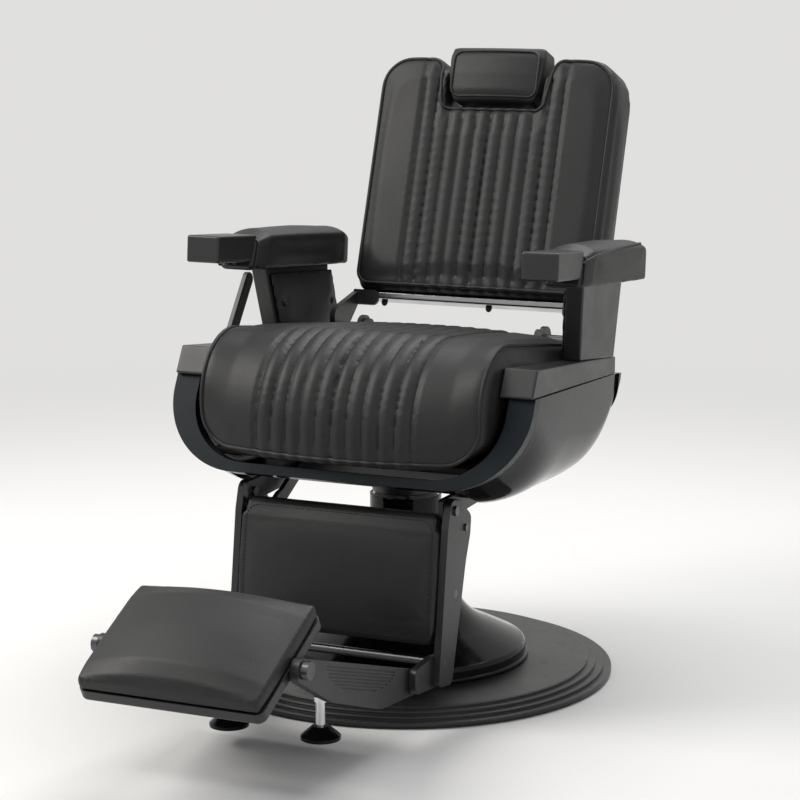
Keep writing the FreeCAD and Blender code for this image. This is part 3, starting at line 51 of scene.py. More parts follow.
class Wire:
    """One socket of a finish. Sums on it add Math nodes, and node() adds any other node."""

    def __init__(self, tree, socket=None):
        self.tree = tree
        self.socket = socket

    def node(self, kind, settings=(), sockets=(), out=0):
        made = self.tree.nodes.new("ShaderNode" + kind)
        for key, value in dict(settings).items():
            setattr(made, key, value)
        for key, value in dict(sockets).items():
            if isinstance(value, Wire):
                self.tree.links.new(value.socket, made.inputs[key])
            else:
                made.inputs[key].default_value = value
        return Wire(self.tree, made.outputs[out] if made.outputs else None)

    def sum(self, operation, a, b):
        return self.node("Math", {"operation": operation}, {0: a, 1: b})

    def __add__(self, other):
        return self.sum("ADD", self, other)

    def __radd__(self, other):
        return self.sum("ADD", other, self)

    def __sub__(self, other):
        return self.sum("SUBTRACT", self, other)

    def __rsub__(self, other):
        return self.sum("SUBTRACT", other, self)

    def __mul__(self, other):
        return self.sum("MULTIPLY", self, other)

    def __rmul__(self, other):
        return self.sum("MULTIPLY", other, self)


def new_finish(name):
    """Empty material, the start of its sums, and its Object coordinates in metres."""
    material = bpy.data.materials.new(name)
    material.use_nodes = True
    material.node_tree.nodes.clear()
    start = Wire(material.node_tree)
    return material, start, start.node("TexCoord", out="Object")


def close_finish(start, sockets):
    start.node("OutputMaterial", {}, {"Surface": start.node("BsdfPrincipled", {}, sockets)})


def speckle(start, place, scale, detail=2.0, low=0.0, high=1.0):
    """Noise at a scale per metre, spread so that low becomes 0 and high becomes 1."""
    cloud = start.node("TexNoise", {}, {
        "Vector": place, "Scale": scale, "Detail": detail, "Roughness": 0.6})
    if (low, high) == (0.0, 1.0):
        return cloud
    return start.node("MapRange", {}, {"Value": cloud, "From Min": low, "From Max": high})


def between(start, share, dark, light):
    """Colour that goes from dark to light as share goes from 0 to 1."""
    return start.node("Mix", {"data_type": "RGBA"}, {0: share, 6: (*dark, 1), 7: (*light, 1)}, 2)


def powder_coat(name, dark, light, rough, edge=0.0015):
    """Sprayed and baked paint: orange peel, cloudy sheen, rubbed patches, softly rounded edges."""
    material, start, place = new_finish(name)
    peel = speckle(start, place, 1100)
    cloud = speckle(start, place, 7, 4, 0.3, 0.7)
    rubbed = speckle(start, place, 48, 8, 0.58, 0.74)
    rounded = start.node("Bevel", {"samples": 4}, {"Radius": edge})
    relief = start.node("Bump", {}, {
        "Height": peel, "Strength": 0.12, "Distance": 0.0006, "Normal": rounded})
    close_finish(start, {
        "Base Color": between(start, cloud * 0.6 + rubbed * 0.4, dark, light),
        "Roughness": rough + cloud * 0.08 + rubbed * 0.1,
        "Normal": relief,
    })
    return material


def rubber_finish(name):
    """Matt black rubber with a fine dull tooth and pale dust."""
    material, start, place = new_finish(name)
    tooth = speckle(start, place, 700, 3)
    dust = speckle(start, place, 30, 6, 0.45, 0.75)
    relief = start.node("Bump", {}, {"Height": tooth, "Strength": 0.25, "Distance": 0.0005})
    close_finish(start, {
        "Base Color": between(start, dust, (0.013, 0.013, 0.014), (0.03, 0.029, 0.028)),
        "Roughness": 0.72 + dust * 0.15,
        "Normal": relief,
    })
    return material


def dress(material, *nodes):
    """Give CAD pieces their finish."""
    for node in nodes:
        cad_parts[node].data.materials.clear()
        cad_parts[node].data.materials.append(material)


satin_steel = powder_coat("satin_steel", (0.007, 0.007, 0.0075), (0.014, 0.014, 0.0145), 0.34)
black_rubber = rubber_finish("black_rubber")
dress(satin_steel, "base_disc")
dress(black_rubber, "floor_pad")

# Hydraulic pump: a steel barrel bolted to the disc under a spun trumpet cover, painted gloss black.
# Bolts and the gland ring round the ram are chromed; the cover ends in a rolled bead on the disc.


def plated(name, light, rough, scratches):
    """Polished plate with hairline scratches and faint haze."""
    material, start, place = new_finish(name)
    stretched = start.node("Mapping", {}, {"Vector": place, "Scale": (1.0, 1.0, 0.06)})
    hair = speckle(start, stretched, 900, 3)
    haze = speckle(start, place, 25, 4, 0.35, 0.75)
    relief = start.node("Bump", {}, {"Height": hair, "Strength": scratches, "Distance": 0.0003})
    dark = tuple(channel * 0.82 for channel in light)
    close_finish(start, {
        "Base Color": between(start, haze, light, dark),
        "Metallic": 1.0,
        "Roughness": rough + haze * 0.1 + hair * 0.04,
        "Normal": relief,
    })
    return material


def gloss_paint(name, dark, light, rough, shine):
    """Glossy black moulding or enamel: smudged gloss over a slightly uneven surface."""
    material, start, place = new_finish(name)
    ripple = speckle(start, place, 38, 2)
    smudge = speckle(start, place, 11, 6, 0.4, 0.72)
    dust = speckle(start, place, 420, 2, 0.62, 0.8)
    rounded = start.node("Bevel", {"samples": 4}, {"Radius": 0.002})
    relief = start.node("Bump", {}, {
        "Height": ripple, "Strength": 0.06, "Distance": 0.002, "Normal": rounded})
    close_finish(start, {
        "Base Color": between(start, dust * 0.35 + smudge * 0.3, dark, light),
        "Roughness": rough + smudge * 0.1 + dust * 0.08,
        "Specular IOR Level": shine,
        "Normal": relief,
    })
    return material


def settled(piece):
    """Make the piece's modifiers part of a plain mesh and remove them."""
    graph = bpy.context.evaluated_depsgraph_get()
    mesh = bpy.data.meshes.new_from_object(piece.evaluated_get(graph), depsgraph=graph)
    piece.modifiers.clear()
    piece.data = mesh
    return piece


def new_tree(name, inputs, output):
    """Empty geometry tree with its named inputs, its input and output nodes, and a way to link."""
    tree = bpy.data.node_groups.new(name, "GeometryNodeTree")
    for label, kind in inputs.items():
        tree.interface.new_socket(label, in_out="INPUT", socket_type="NodeSocket" + kind)
    tree.interface.new_socket(output, in_out="OUTPUT", socket_type="NodeSocketGeometry")
    return tree, tree.nodes.new("NodeGroupInput"), tree.nodes.new("NodeGroupOutput"), tree.links.new


def end_tree(tree, made, material, result):
    """Close a geometry tree: realised, smoothly shaded and covered with a material."""
    real = tree.nodes.new("GeometryNodeRealizeInstances")
    smooth = tree.nodes.new("GeometryNodeSetShadeSmooth")
    cover = tree.nodes.new("GeometryNodeSetMaterial")
    tree.links.new(made, real.inputs["Geometry"])
    tree.links.new(real.outputs["Geometry"], smooth.inputs["Geometry"])
    tree.links.new(smooth.outputs["Geometry"], cover.inputs["Geometry"])
    tree.links.new(material, cover.inputs["Material"])
    tree.links.new(cover.outputs["Geometry"], result.inputs[0])


def grow(piece, tree, sizes):
    """Put a geometry tree on a piece, with its named inputs."""
    grown = piece.modifiers.new("grow", "NODES")
    grown.node_group = tree
    for item in tree.interface.items_tree:
        if item.name in sizes:
            grown[item.identifier] = sizes[item.name]


def welt_tree():
    """Round welt along a path: a ring swept along the evenly stepped curve, and its cover."""
    tree, given, result, link = new_tree("welt", {
        "Path": "Geometry", "Radius": "Float", "Sides": "Int", "Step": "Float", "Cover": "Material"}, "Welt")
    even = tree.nodes.new("GeometryNodeResampleCurve")
    even.mode = "LENGTH"
    ring = tree.nodes.new("GeometryNodeCurvePrimitiveCircle")
    sweep = tree.nodes.new("GeometryNodeCurveToMesh")
    sweep.inputs["Fill Caps"].default_value = True
    link(given.outputs["Radius"], ring.inputs["Radius"])
    link(given.outputs["Sides"], ring.inputs["Resolution"])
    link(given.outputs["Path"], even.inputs["Curve"])
    link(given.outputs["Step"], even.inputs["Length"])
    link(even.outputs["Curve"], sweep.inputs["Curve"])
    link(ring.outputs["Curve"], sweep.inputs["Profile Curve"])
    end_tree(tree, sweep.outputs["Mesh"], given.outputs["Cover"], result)
    return tree


def along_paths(name, paths, closed, tree, sizes):
    """Piece that a geometry tree makes along poly lines; sizes holds the tree's named inputs."""
    line = bpy.data.curves.new(name, "CURVE")
    line.dimensions = "3D"
    for path in paths:
        spline = line.splines.new("POLY")
        spline.points.add(len(path) - 1)
        spline.use_cyclic_u = closed
        for point, place in zip(spline.points, path):
            point.co = (*place, 1)
    drawn = bpy.data.objects.new(name + "_line", line)
    scene.collection.objects.link(drawn)
    grow(drawn, tree, sizes)
    graph = bpy.context.evaluated_depsgraph_get()
    mesh = bpy.data.meshes.new_from_object(drawn.evaluated_get(graph), depsgraph=graph)
    bpy.data.objects.remove(drawn)
    piece = bpy.data.objects.new(name, mesh)
    scene.collection.objects.link(piece)
    return piece


welt = welt_tree()
chrome = plated("chrome", (0.78, 0.78, 0.79), 0.07, 0.03)
gloss_black = gloss_paint("gloss_black", (0.004, 0.0043, 0.005), (0.009, 0.0097, 0.011), 0.09, 0.16)
dress(gloss_black, "pump_cover")
dress(satin_steel, "pump_barrel")
dress(chrome, "pump_bolts", "gland_ring")
rim_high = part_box("base_disc")[1].z
rim_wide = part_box("pump_cover")[1].x
bead_radius, bead_lift = 0.0042, 0.0045
turns = [i * math.tau / 96 for i in range(96)]
bead_points = [(rim_wide * math.cos(turn), rim_wide * math.sin(turn), rim_high + bead_lift) for turn in turns]
cover_bead = along_paths("cover_bead", [bead_points], True, welt,
                         {"Radius": bead_radius, "Sides": 10, "Step": 0.01, "Cover": gloss_black})
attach(cover_bead, "base")

# Pump pedal: a flat steel arm on a cross pin in two ears on the disc, with a ribbed rubber pad.
# It comes out through a slot in the cover, behind the chair on the sitter's right.
dress(satin_steel, "pedal_bracket", "pedal_arm")
dress(chrome, "pedal_pin")
dress(black_rubber, "pedal_pad")

# Lift ram, swivel hub and seat frame: a chromed ram, and welded plate parts in satin black.
# The back and the leg rest hang on blackened pins in the two side rails.
blackened = plated("blackened_steel", (0.11, 0.11, 0.115), 0.24, 0.05)
dress(chrome, "lift_ram")
dress(blackened, "leg_pivot_pins")
dress(satin_steel, "swivel_hub", "seat_plate", "frame_rail_left", "frame_rail_right", "shell_brackets")

# Seat shell: a deep tub moulded in gloss black, with a thick front bezel and a rear trim band.
# It hangs from the frame rails on saddle brackets, and the side caps close its top edges.
# The blue-grey tint in the bezel's colour is a painted reflection of cool window light on its gloss black.
bezel_painted_reflection = gloss_paint("bezel_painted_reflection", (0.006, 0.0095, 0.012), (0.009, 0.014, 0.018), 0.26, 0.14)
dress(bezel_painted_reflection, "front_bezel")
dress(gloss_black, "seat_shell", "rear_trim")

# Side caps: satin black bars that close the top edge of the shell and carry the arm posts.
# Injection moulded, with a fine eroded texture that turns shiny where hands rub it.


def eroded_plastic(name, dark, light, rough):
    """Satin moulding with a fine eroded tooth and polished patches."""
    material, start, place = new_finish(name)
    tooth = speckle(start, place, 1500, 3)
    hand = speckle(start, place, 14, 5, 0.42, 0.7)
    rounded = start.node("Bevel", {"samples": 6}, {"Radius": 0.003})
    relief = start.node("Bump", {}, {
        "Height": tooth, "Strength": 0.16, "Distance": 0.0005, "Normal": rounded})
    close_finish(start, {
        "Base Color": between(start, hand, dark, light),
        "Roughness": rough - hand * 0.08 + tooth * 0.06,
        "Normal": relief,
    })
    return material


satin_moulding = eroded_plastic("satin_moulding", (0.009, 0.009, 0.0095), (0.015, 0.015, 0.0155), 0.36)
dress(satin_moulding, "side_cap_left", "side_cap_right")

# Seat cushion: foam under sewn black leatherette on a bent plywood board.
# The cover is drawn down in channels from the rear over the front roll, with a welt round the front panel.


def stained_ply(name):
    """Birch ply stained black: long grain bands that show through, and a dry surface."""
    material, start, place = new_finish(name)
    long = start.node("Mapping", {}, {"Vector": place, "Scale": (9.0, 1.0, 9.0)})
    grain = speckle(start, long, 14, 6, 0.3, 0.7)
    pores = speckle(start, long, 160, 2)
    relief = start.node("Bump", {}, {"Height": pores, "Strength": 0.2, "Distance": 0.0005})
    close_finish(start, {
        "Base Color": between(start, grain, (0.016, 0.014, 0.013), (0.03, 0.026, 0.023)),
        "Roughness": 0.6 + pores * 0.15,
        "Normal": relief,
    })
    return material


def leatherette(name, dark, light):
    """Embossed black leatherette: pebbled grain, faint creases, sheen that wanders with use."""
    material, start, place = new_finish(name)
    pebble = start.node("TexVoronoi", {"feature": "SMOOTH_F1"}, {
        "Vector": place, "Scale": 620, "Smoothness": 0.5})
    fine = speckle(start, place, 1700, 3)
    crease = speckle(start, place, 70, 6)
    cloud = speckle(start, place, 8, 4, 0.32, 0.68)
    height = pebble * 0.7 + fine * 0.35 + crease * 0.5
    relief = start.node("Bump", {}, {"Height": height, "Strength": 0.32, "Distance": 0.0007})
    close_finish(start, {
        "Base Color": between(start, cloud * 0.7 + fine * 0.3, dark, light),
        "Roughness": 0.4 + cloud * 0.08 + pebble * 0.12,
        "Specular IOR Level": 0.36,
        "Normal": relief,
    })
    return material


def stuffed(node, name, voxel, slack, cap, rest, smooth=5):
    """Sewn pad over foam: the CAD solid's skin, even and a little slack, blown up as cloth.
    The pad keeps at least the solid's form. Points that face along rest lie on what carries it."""
    piece = bpy.data.objects.new(name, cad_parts[node].data.copy())
    scene.collection.objects.link(piece)
    form = bmesh.new()
    form.from_mesh(piece.data)
    bmesh.ops.remove_doubles(form, verts=form.verts, dist=1e-5)
    form.to_mesh(piece.data)
    form.free()
    piece.data.materials.clear()
    skin = piece.modifiers.new("skin", "REMESH")
    skin.mode = "VOXEL"
    skin.voxel_size = voxel
    ease = piece.modifiers.new("ease", "SMOOTH")
    ease.iterations = smooth
    cling = piece.modifiers.new("cling", "SHRINKWRAP")
    cling.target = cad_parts[node]
    settle = piece.modifiers.new("settle", "SMOOTH")
    settle.iterations = 1
    settled(piece)
    home = [(v.co.copy(), v.normal.copy()) for v in piece.data.vertices]
    held = [normal.dot(rest(place)) > 0.75 for place, normal in home]
    for vertex, still, (place, normal) in zip(piece.data.vertices, held, home):
        vertex.co = place if still else place - normal * slack
    group = piece.vertex_groups.new(name="carried")
    group.add([i for i, still in enumerate(held) if still], 1.0, "REPLACE")
    stuffing = piece.modifiers.new("stuffing", "CLOTH")
    stuffing.settings.quality = 3
    stuffing.settings.use_pressure = True
    stuffing.settings.uniform_pressure_force = 5
    stuffing.settings.vertex_group_mass = "carried"
    stuffing.settings.effector_weights.gravity = 0
    for moment in range(1, 9):
        scene.frame_set(moment)
    settled(piece)
    scene.frame_set(1)
    for vertex, (place, normal) in zip(piece.data.vertices, home):
        vertex.co = place + normal * min(cap, max(-0.0005, (vertex.co - place).dot(normal)))
    piece.vertex_groups.clear()
    finer = piece.modifiers.new("finer", "SUBSURF")
    finer.levels = finer.render_levels = 1
    settled(piece)
    piece.data.shade_smooth()
    return piece


def eased(value, low, high):
    """0 below low, 1 above high and a smooth step between."""
    share = min(1, max(0, (value - low) / (high - low)))
    return share * share * (3 - 2 * share)


def sew_channels(piece, seams, groove, crown, reach, half=0.0026):
    """Draw the cover in along straight seams and let it swell between them.
    reach(point, normal, seam) is 1 where a seam runs. Gives the stitch line in each seam."""
    pitch = seams[1] - seams[0]
    form = bmesh.new()
    form.from_mesh(piece.data)
    for seam in seams:
        for shift in (-half, 0, half):
            bmesh.ops.bisect_plane(form, geom=form.verts[:] + form.edges[:] + form.faces[:], dist=1e-7,
                                   plane_co=(seam + shift, 0, 0), plane_no=(1, 0, 0))
    form.normal_update()
    moves, lines = [], {seam: [] for seam in seams}
    for vertex in form.verts:
        seam = min(seams, key=lambda x: abs(vertex.co.x - x))
        away = abs(vertex.co.x - seam)
        if away > 0.5 * pitch:
            continue
        share = reach(vertex.co, vertex.normal, seam)
        if share <= 0:
            continue
        swell = crown * (1 - (1 - away / (0.5 * pitch)) ** 2)
        dip = groove * max(0, 1 - away / (1.4 * half)) ** 1.5
        moves.append((vertex, vertex.normal * (share * (swell - dip))))
        if share > 0.5 and abs(vertex.co.x - seam) < 2e-6:
            lines[seam].append(vertex)
    for vertex, move in moves:
        vertex.co += move
    form.normal_update()
    paths = [[v.co + v.normal * 0.0004 for v in line] for line in lines.values()]
    form.to_mesh(piece.data)
    form.free()
    piece.data.shade_smooth()
    return paths


def stitch_tree():
    """Row of thread stitches along a path: pitch, length and thickness are named inputs."""
    tree, given, result, link = new_tree("stitches", {
        "Path": "Geometry", "Pitch": "Float", "Length": "Float", "Thickness": "Float", "Thread": "Material"},
        "Stitches")
    spaced = tree.nodes.new("GeometryNodeResampleCurve")
    spaced.mode = "LENGTH"
    bobble = tree.nodes.new("GeometryNodeMeshUVSphere")
    bobble.inputs["Segments"].default_value = 6
    bobble.inputs["Rings"].default_value = 4
    bobble.inputs["Radius"].default_value = 0.5
    size = tree.nodes.new("ShaderNodeCombineXYZ")
    tangent = tree.nodes.new("GeometryNodeInputTangent")
    turn = tree.nodes.new("FunctionNodeAlignEulerToVector")
    turn.axis = "X"
    laid = tree.nodes.new("GeometryNodeInstanceOnPoints")
    link(given.outputs["Path"], spaced.inputs["Curve"])
    link(given.outputs["Pitch"], spaced.inputs["Length"])
    link(given.outputs["Length"], size.inputs["X"])
    link(given.outputs["Thickness"], size.inputs["Y"])
    link(given.outputs["Thickness"], size.inputs["Z"])
    link(tangent.outputs["Tangent"], turn.inputs["Vector"])
    link(spaced.outputs["Curve"], laid.inputs["Points"])
    link(bobble.outputs["Mesh"], laid.inputs["Instance"])
    link(turn.outputs["Rotation"], laid.inputs["Rotation"])
    link(size.outputs["Vector"], laid.inputs["Scale"])
    end_tree(tree, laid.outputs["Instances"], given.outputs["Thread"], result)
    return tree


def rounded_path(corners, step, closed):
    """Points a step apart along straight runs and rounded corners (a, b, radius)."""
    count = len(corners)
    points = []
    for i, (a, b, radius) in enumerate(corners):
        here = Vector((a, b))
        if radius <= 0 or (not closed and i in (0, count - 1)):
            points.append(here)
            continue
        back = (Vector(corners[i - 1][:2]) - here).normalized()
        ahead = (Vector(corners[(i + 1) % count][:2]) - here).normalized()
        half = 0.5 * back.angle(ahead)
        reach = radius / math.tan(half)
        centre = here + (back + ahead).normalized() * (radius / math.sin(half))
        first, last = here + back * reach - centre, here + ahead * reach - centre
        for k in range(9):
            points.append(centre + first.slerp(last, k / 8) * radius)
    runs = zip(points, points[1:] + points[:1]) if closed else zip(points, points[1:])
    fine = []
    for start, end in runs:
        pieces = max(1, round((end - start).length / step))
        fine += [start.lerp(end, k / pieces) for k in range(pieces)]
    return fine if closed else fine + [points[-1]]


def on_skin(skin, start, outward):
    """Point just proud of a soft surface, found from outside or else the nearest to start."""
    found, normal = skin.ray_cast(start + outward * 0.6, -outward)[:2]
    if found is None:
        found, normal = skin.find_nearest(start)[:2]
    return found + normal * 0.0008


def finish_soft(piece, node, body):
    piece.data.materials.clear()
    piece.data.materials.append(black_leather)
    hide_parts(node)
    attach(piece, body)


def trim(name, paths, closed, tree, sizes, body):
    """Welt or stitching on a soft piece, moving with its body."""
    piece = along_paths(name, paths, closed, tree, sizes)
    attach(piece, body)
    return piece


stitches = stitch_tree()
black_leather = leatherette("black_leather", (0.007, 0.007, 0.0073), (0.013, 0.013, 0.0133))
welt_leather = leatherette("welt_leather", (0.007, 0.007, 0.0073), (0.011, 0.011, 0.0114))
black_thread = eroded_plastic("black_thread", (0.006, 0.006, 0.0065), (0.012, 0.012, 0.0125), 0.6)
thread_sizes = {"Pitch": 0.0062, "Length": 0.0046, "Thickness": 0.0011, "Thread": black_thread}
welt_sizes = {"Radius": 0.0032, "Sides": 10, "Step": 0.005, "Cover": welt_leather}
dress(stained_ply("black_ply"), "seat_board", "calf_board")

seat_middle = Vector((0, -0.07, 0.47))
seam_pitch, seam_groove, seam_crown = 0.0275, 0.0016, 0.0004
seams = [(i - 5) * seam_pitch for i in range(11)]


def seat_seam_reach(point, normal, seam):
    facing = eased(normal.z - 1.4 * normal.y, 0.35, 0.75)
    if point.y < -0.12:
        facing *= eased(point.z, 0.44, 0.452)
    return facing * (1 - eased(point.y, 0.14, 0.16))


def round_seat(point):
    return math.atan2(point.z - seat_middle.z, point.y - seat_middle.y) % math.tau


seat = stuffed("seat_cushion", "seat_sewn", 0.0065, 0.002, 0.004, lambda place: Vector((0, 0, -1)))
seat_swell, seat_half = 0.008, 0.262
for vertex in seat.data.vertices:
    x, y, z = vertex.co
    crowned = max(0, 1 - (x / seat_half) ** 2)
    vertex.co.z += seat_swell * eased(z, 0.5, 0.57) * eased(y, -0.14, 0.02) * crowned
seat_lines = sew_channels(seat, seams, seam_groove, seam_crown, seat_seam_reach)
seat_lines = [sorted(line, key=round_seat) for line in seat_lines]
finish_soft(seat, "seat_cushion", "seat")
trim("seat_stitching", seat_lines, False, stitches, thread_sizes, "seat")

seat_skin = BVHTree.FromObject(seat, bpy.context.evaluated_depsgraph_get())
seat_side, seat_round, seat_corner = 0.2475, 0.2, 0.055
border_rear, border_front = math.radians(22) * seat_round, math.radians(191) * seat_round
seat_border = rounded_path([
    (seat_side, border_rear, 0), (seat_side, border_front, seat_corner),
    (-seat_side, border_front, seat_corner), (-seat_side, border_rear, 0)], 0.008, False)
seat_welt = []
for across, around in seat_border:
    angle = around / seat_round
    outward = Vector((0, math.cos(angle), math.sin(angle)))
    inside = Vector((across, seat_middle.y, seat_middle.z)) + outward * 0.19
    seat_welt.append(on_skin(seat_skin, inside, outward))
trim("seat_welt", [seat_welt], False, welt, welt_sizes, "seat")

# Arms: plain box grips and leaning posts in satin black on the side caps, with stuffed pads on top.
# The pads are screwed down from below and welted; a buttoned panel is set on each post's inner face.


def stud_tree():
    """Round-headed studs on points that hold the way they face: radius and height are named inputs."""
    tree, given, result, link = new_tree("studs", {
        "Spots": "Geometry", "Radius": "Float", "Height": "Float", "Finish": "Material"}, "Studs")
    dome = tree.nodes.new("GeometryNodeMeshUVSphere")
    dome.inputs["Segments"].default_value = 16
    dome.inputs["Rings"].default_value = 8
    dome.inputs["Radius"].default_value = 1.0
    size = tree.nodes.new("ShaderNodeCombineXYZ")
    facing = tree.nodes.new("GeometryNodeInputNamedAttribute")
    facing.data_type = "FLOAT_VECTOR"
    facing.inputs["Name"].default_value = "facing"
    turn = tree.nodes.new("FunctionNodeAlignEulerToVector")
    turn.axis = "Z"
    laid = tree.nodes.new("GeometryNodeInstanceOnPoints")
    link(given.outputs["Radius"], size.inputs["X"])
    link(given.outputs["Radius"], size.inputs["Y"])
    link(given.outputs["Height"], size.inputs["Z"])
    link(facing.outputs["Attribute"], turn.inputs["Vector"])
    link(given.outputs["Spots"], laid.inputs["Points"])
    link(dome.outputs["Mesh"], laid.inputs["Instance"])
    link(turn.outputs["Rotation"], laid.inputs["Rotation"])
    link(size.outputs["Vector"], laid.inputs["Scale"])
    end_tree(tree, laid.outputs["Instances"], given.outputs["Finish"], result)
    return tree


def add_studs(name, spots, radius, height, finish, body):
    """Screw heads, buttons or knobs at spots, each a place and the way it faces."""
    mesh = bpy.data.meshes.new(name)
    mesh.from_pydata([place for place, facing in spots], [], [])
    facings = mesh.attributes.new("facing", "FLOAT_VECTOR", "POINT")
    for item, (place, facing) in zip(facings.data, spots):
        item.vector = facing
    piece = bpy.data.objects.new(name, mesh)
    scene.collection.objects.link(piece)
    grow(piece, studs, {"Radius": radius, "Height": height, "Finish": finish})
    settled(piece)
    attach(piece, body)


def cut_loop(piece, spot, facing):
    """Line round a soft piece where a plane cuts its skin, as points just proud of it."""
    form = bmesh.new()
    form.from_mesh(piece.data)
    cut = bmesh.ops.bisect_plane(form, geom=form.verts[:] + form.edges[:] + form.faces[:], dist=1e-7,
                                 plane_co=spot, plane_no=facing)["geom_cut"]
    points = [v.co + v.normal * 0.0006 for v in cut if isinstance(v, bmesh.types.BMVert)]
    form.free()
    centre = sum(points, Vector()) / len(points)
    first = Vector(facing).orthogonal().normalized()
    second = Vector(facing).normalized().cross(first)
    points.sort(key=lambda p: math.atan2((p - centre).dot(second), (p - centre).dot(first)))
    return points


studs = stud_tree()
dress(satin_moulding, "arm_grip_left", "arm_grip_right", "arm_post_left", "arm_post_right")
arm_toe, slant = math.radians(1.6), math.atan(22 / 58)
pad_reach, pad_toe_run, edge_steps = 0.345, 0.33, 40
stud_facing = (0, 0.076, -0.997)
stud_spots = ((-0.105, 0.7075), (-0.052, 0.7035))
for side, hand in (("left", 1), ("right", -1)):
    pad = stuffed("arm_pad_" + side, f"arm_pad_{side}_sewn", 0.005, 0.002, 0.006,
                  lambda place: Vector((0, 0, -1)), 3)
    finish_soft(pad, "arm_pad_" + side, "seat")
    low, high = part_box("arm_pad_" + side)
    pad_front = Vector((0.5 * (low.x + high.x) + hand * 0.005, low.y + 0.018, 0.708))
    front_loop = cut_loop(pad, pad_front, (hand * math.sin(arm_toe), -math.cos(slant), math.sin(slant)))
    pad_skin = BVHTree.FromObject(pad, bpy.context.evaluated_depsgraph_get())
    outward = Vector((hand * 0.74, 0, 0.67))
    edge = []
    for k in range(edge_steps + 1):
        share = k / edge_steps
        across = pad_front.x - hand * math.sin(arm_toe) * pad_toe_run * share
        spine = Vector((across, low.y + 0.022 + pad_reach * share, 0.702))
        edge.append(on_skin(pad_skin, spine, outward))
    trim(f"arm_pad_{side}_welt", [front_loop], True, welt, welt_sizes | {"Radius": 0.0022}, "seat")
    trim(f"arm_pad_{side}_edge", [edge], False, welt, welt_sizes | {"Radius": 0.0024}, "seat")
    add_studs(f"grip_studs_{side}", [((hand * 0.301, y, z), stud_facing) for y, z in stud_spots],
              0.0045, 0.006, black_rubber, "seat")

panels = stuffed("arm_panels", "arm_panels_sewn", 0.004, 0.001, 0.003,
                 lambda place: Vector((math.copysign(1, place.x), 0, 0)), 3)
panel_skin = BVHTree.FromObject(panels, bpy.context.evaluated_depsgraph_get())
button_spots = ((0.068, 0.619), (0.258, 0.6))
button_sink, dimple_radius, dimple_depth = 0.0012, 0.024, 0.0026
buttons = []
for hand in (1, -1):
    for y, z in button_spots:
        spot, normal = panel_skin.ray_cast(Vector((0, y, z)), Vector((hand, 0, 0)))[:2]
        buttons.append((spot - normal * button_sink, normal))
for vertex, outward in zip(panels.data.vertices, [v.normal.copy() for v in panels.data.vertices]):
    for spot, normal in buttons:
        near = max(0, 1 - (vertex.co - spot).length / dimple_radius)
        if outward.dot(normal) > 0.3:
            vertex.co -= normal * (dimple_depth * near ** 1.6)
finish_soft(panels, "arm_panels", "seat")
add_studs("panel_buttons", buttons, 0.0065, 0.0026, black_leather, "seat")

# Backrest: a sewn channelled cushion and an upholstered rear panel on a polished steel rail.
# Two cranked plates carry the rail on the recline pins; steel sleeves hold the headrest posts.
dark_steel = plated("dark_steel", (0.3, 0.3, 0.31), 0.16, 0.05)
dress(satin_steel, "hinge_arm_left", "hinge_arm_right")
dress(dark_steel, "back_rail")
dress(blackened, "recline_pins", "crank_pins")
dress(chrome, "headrest_sleeves")
back_foot = Vector((0, 0.278, 0.622))
lean = math.radians(19)
notch_half, notch_seam_top, lobe_seam_top = 0.1, 0.332, 0.408
back_up = Vector((0, math.sin(lean), math.cos(lean)))
back_out = Vector((0, -math.cos(lean), math.sin(lean)))


def back_seam_reach(point, normal, seam):
    high = (point - back_foot).dot(back_up)
    top = notch_seam_top if abs(seam) < notch_half else lobe_seam_top
    facing = eased(normal.dot(back_out), 0.45, 0.8)
    return facing * eased(high, 0.026, 0.04) * (1 - eased(high, top - 0.012, top))


back = stuffed("back_cushion", "back_sewn", 0.0065, 0.002, 0.004, lambda place: -back_out)
back_lines = sew_channels(back, seams, seam_groove, seam_crown, back_seam_reach)
back_lines = [sorted(line, key=lambda p: p.dot(back_up)) for line in back_lines]
finish_soft(back, "back_cushion", "backrest")
trim("back_stitching", back_lines, False, stitches, thread_sizes, "backrest")

back_skin = BVHTree.FromObject(back, bpy.context.evaluated_depsgraph_get())
border_low, border_top, border_half, notch_low = 0.012, 0.440, 0.226, 0.345
half_border = [(border_half, border_low, 0.024), (border_half, border_top, 0.055),
               (0.111, border_top, 0.024), (notch_half, notch_low, 0.016)]
back_border = rounded_path([(-x, y, r) for x, y, r in half_border] + half_border[::-1], 0.008, True)
back_welt = []
for across, high in back_border:
    back_welt.append(on_skin(back_skin, back_foot + Vector((across, 0, 0)) + back_up * high, back_out))
trim("back_welt", [back_welt], True, welt, welt_sizes, "backrest")

rail_under = back_foot - back_up * 0.0165 - back_out * 0.032
knob_spots = (-0.178, 0.03, 0.178)
add_studs("rail_knobs", [(rail_under + Vector((x, 0, 0)), -back_up) for x in knob_spots],
          0.006, 0.008, black_rubber, "backrest")

rear = stuffed("back_panel", "back_panel_sewn", 0.0075, 0.002, 0.004, lambda place: back_out)
finish_soft(rear, "back_panel", "backrest")

# Headrest: a stuffed pad with a welted front, sewn in the same leatherette as the back.
# It stands on two chromed posts that slide in the sleeves of the back.
dress(chrome, "headrest_posts")
head = stuffed("headrest_pad", "headrest_sewn", 0.0045, 0.003, 0.007, lambda place: -back_out)
finish_soft(head, "headrest_pad", "headrest")


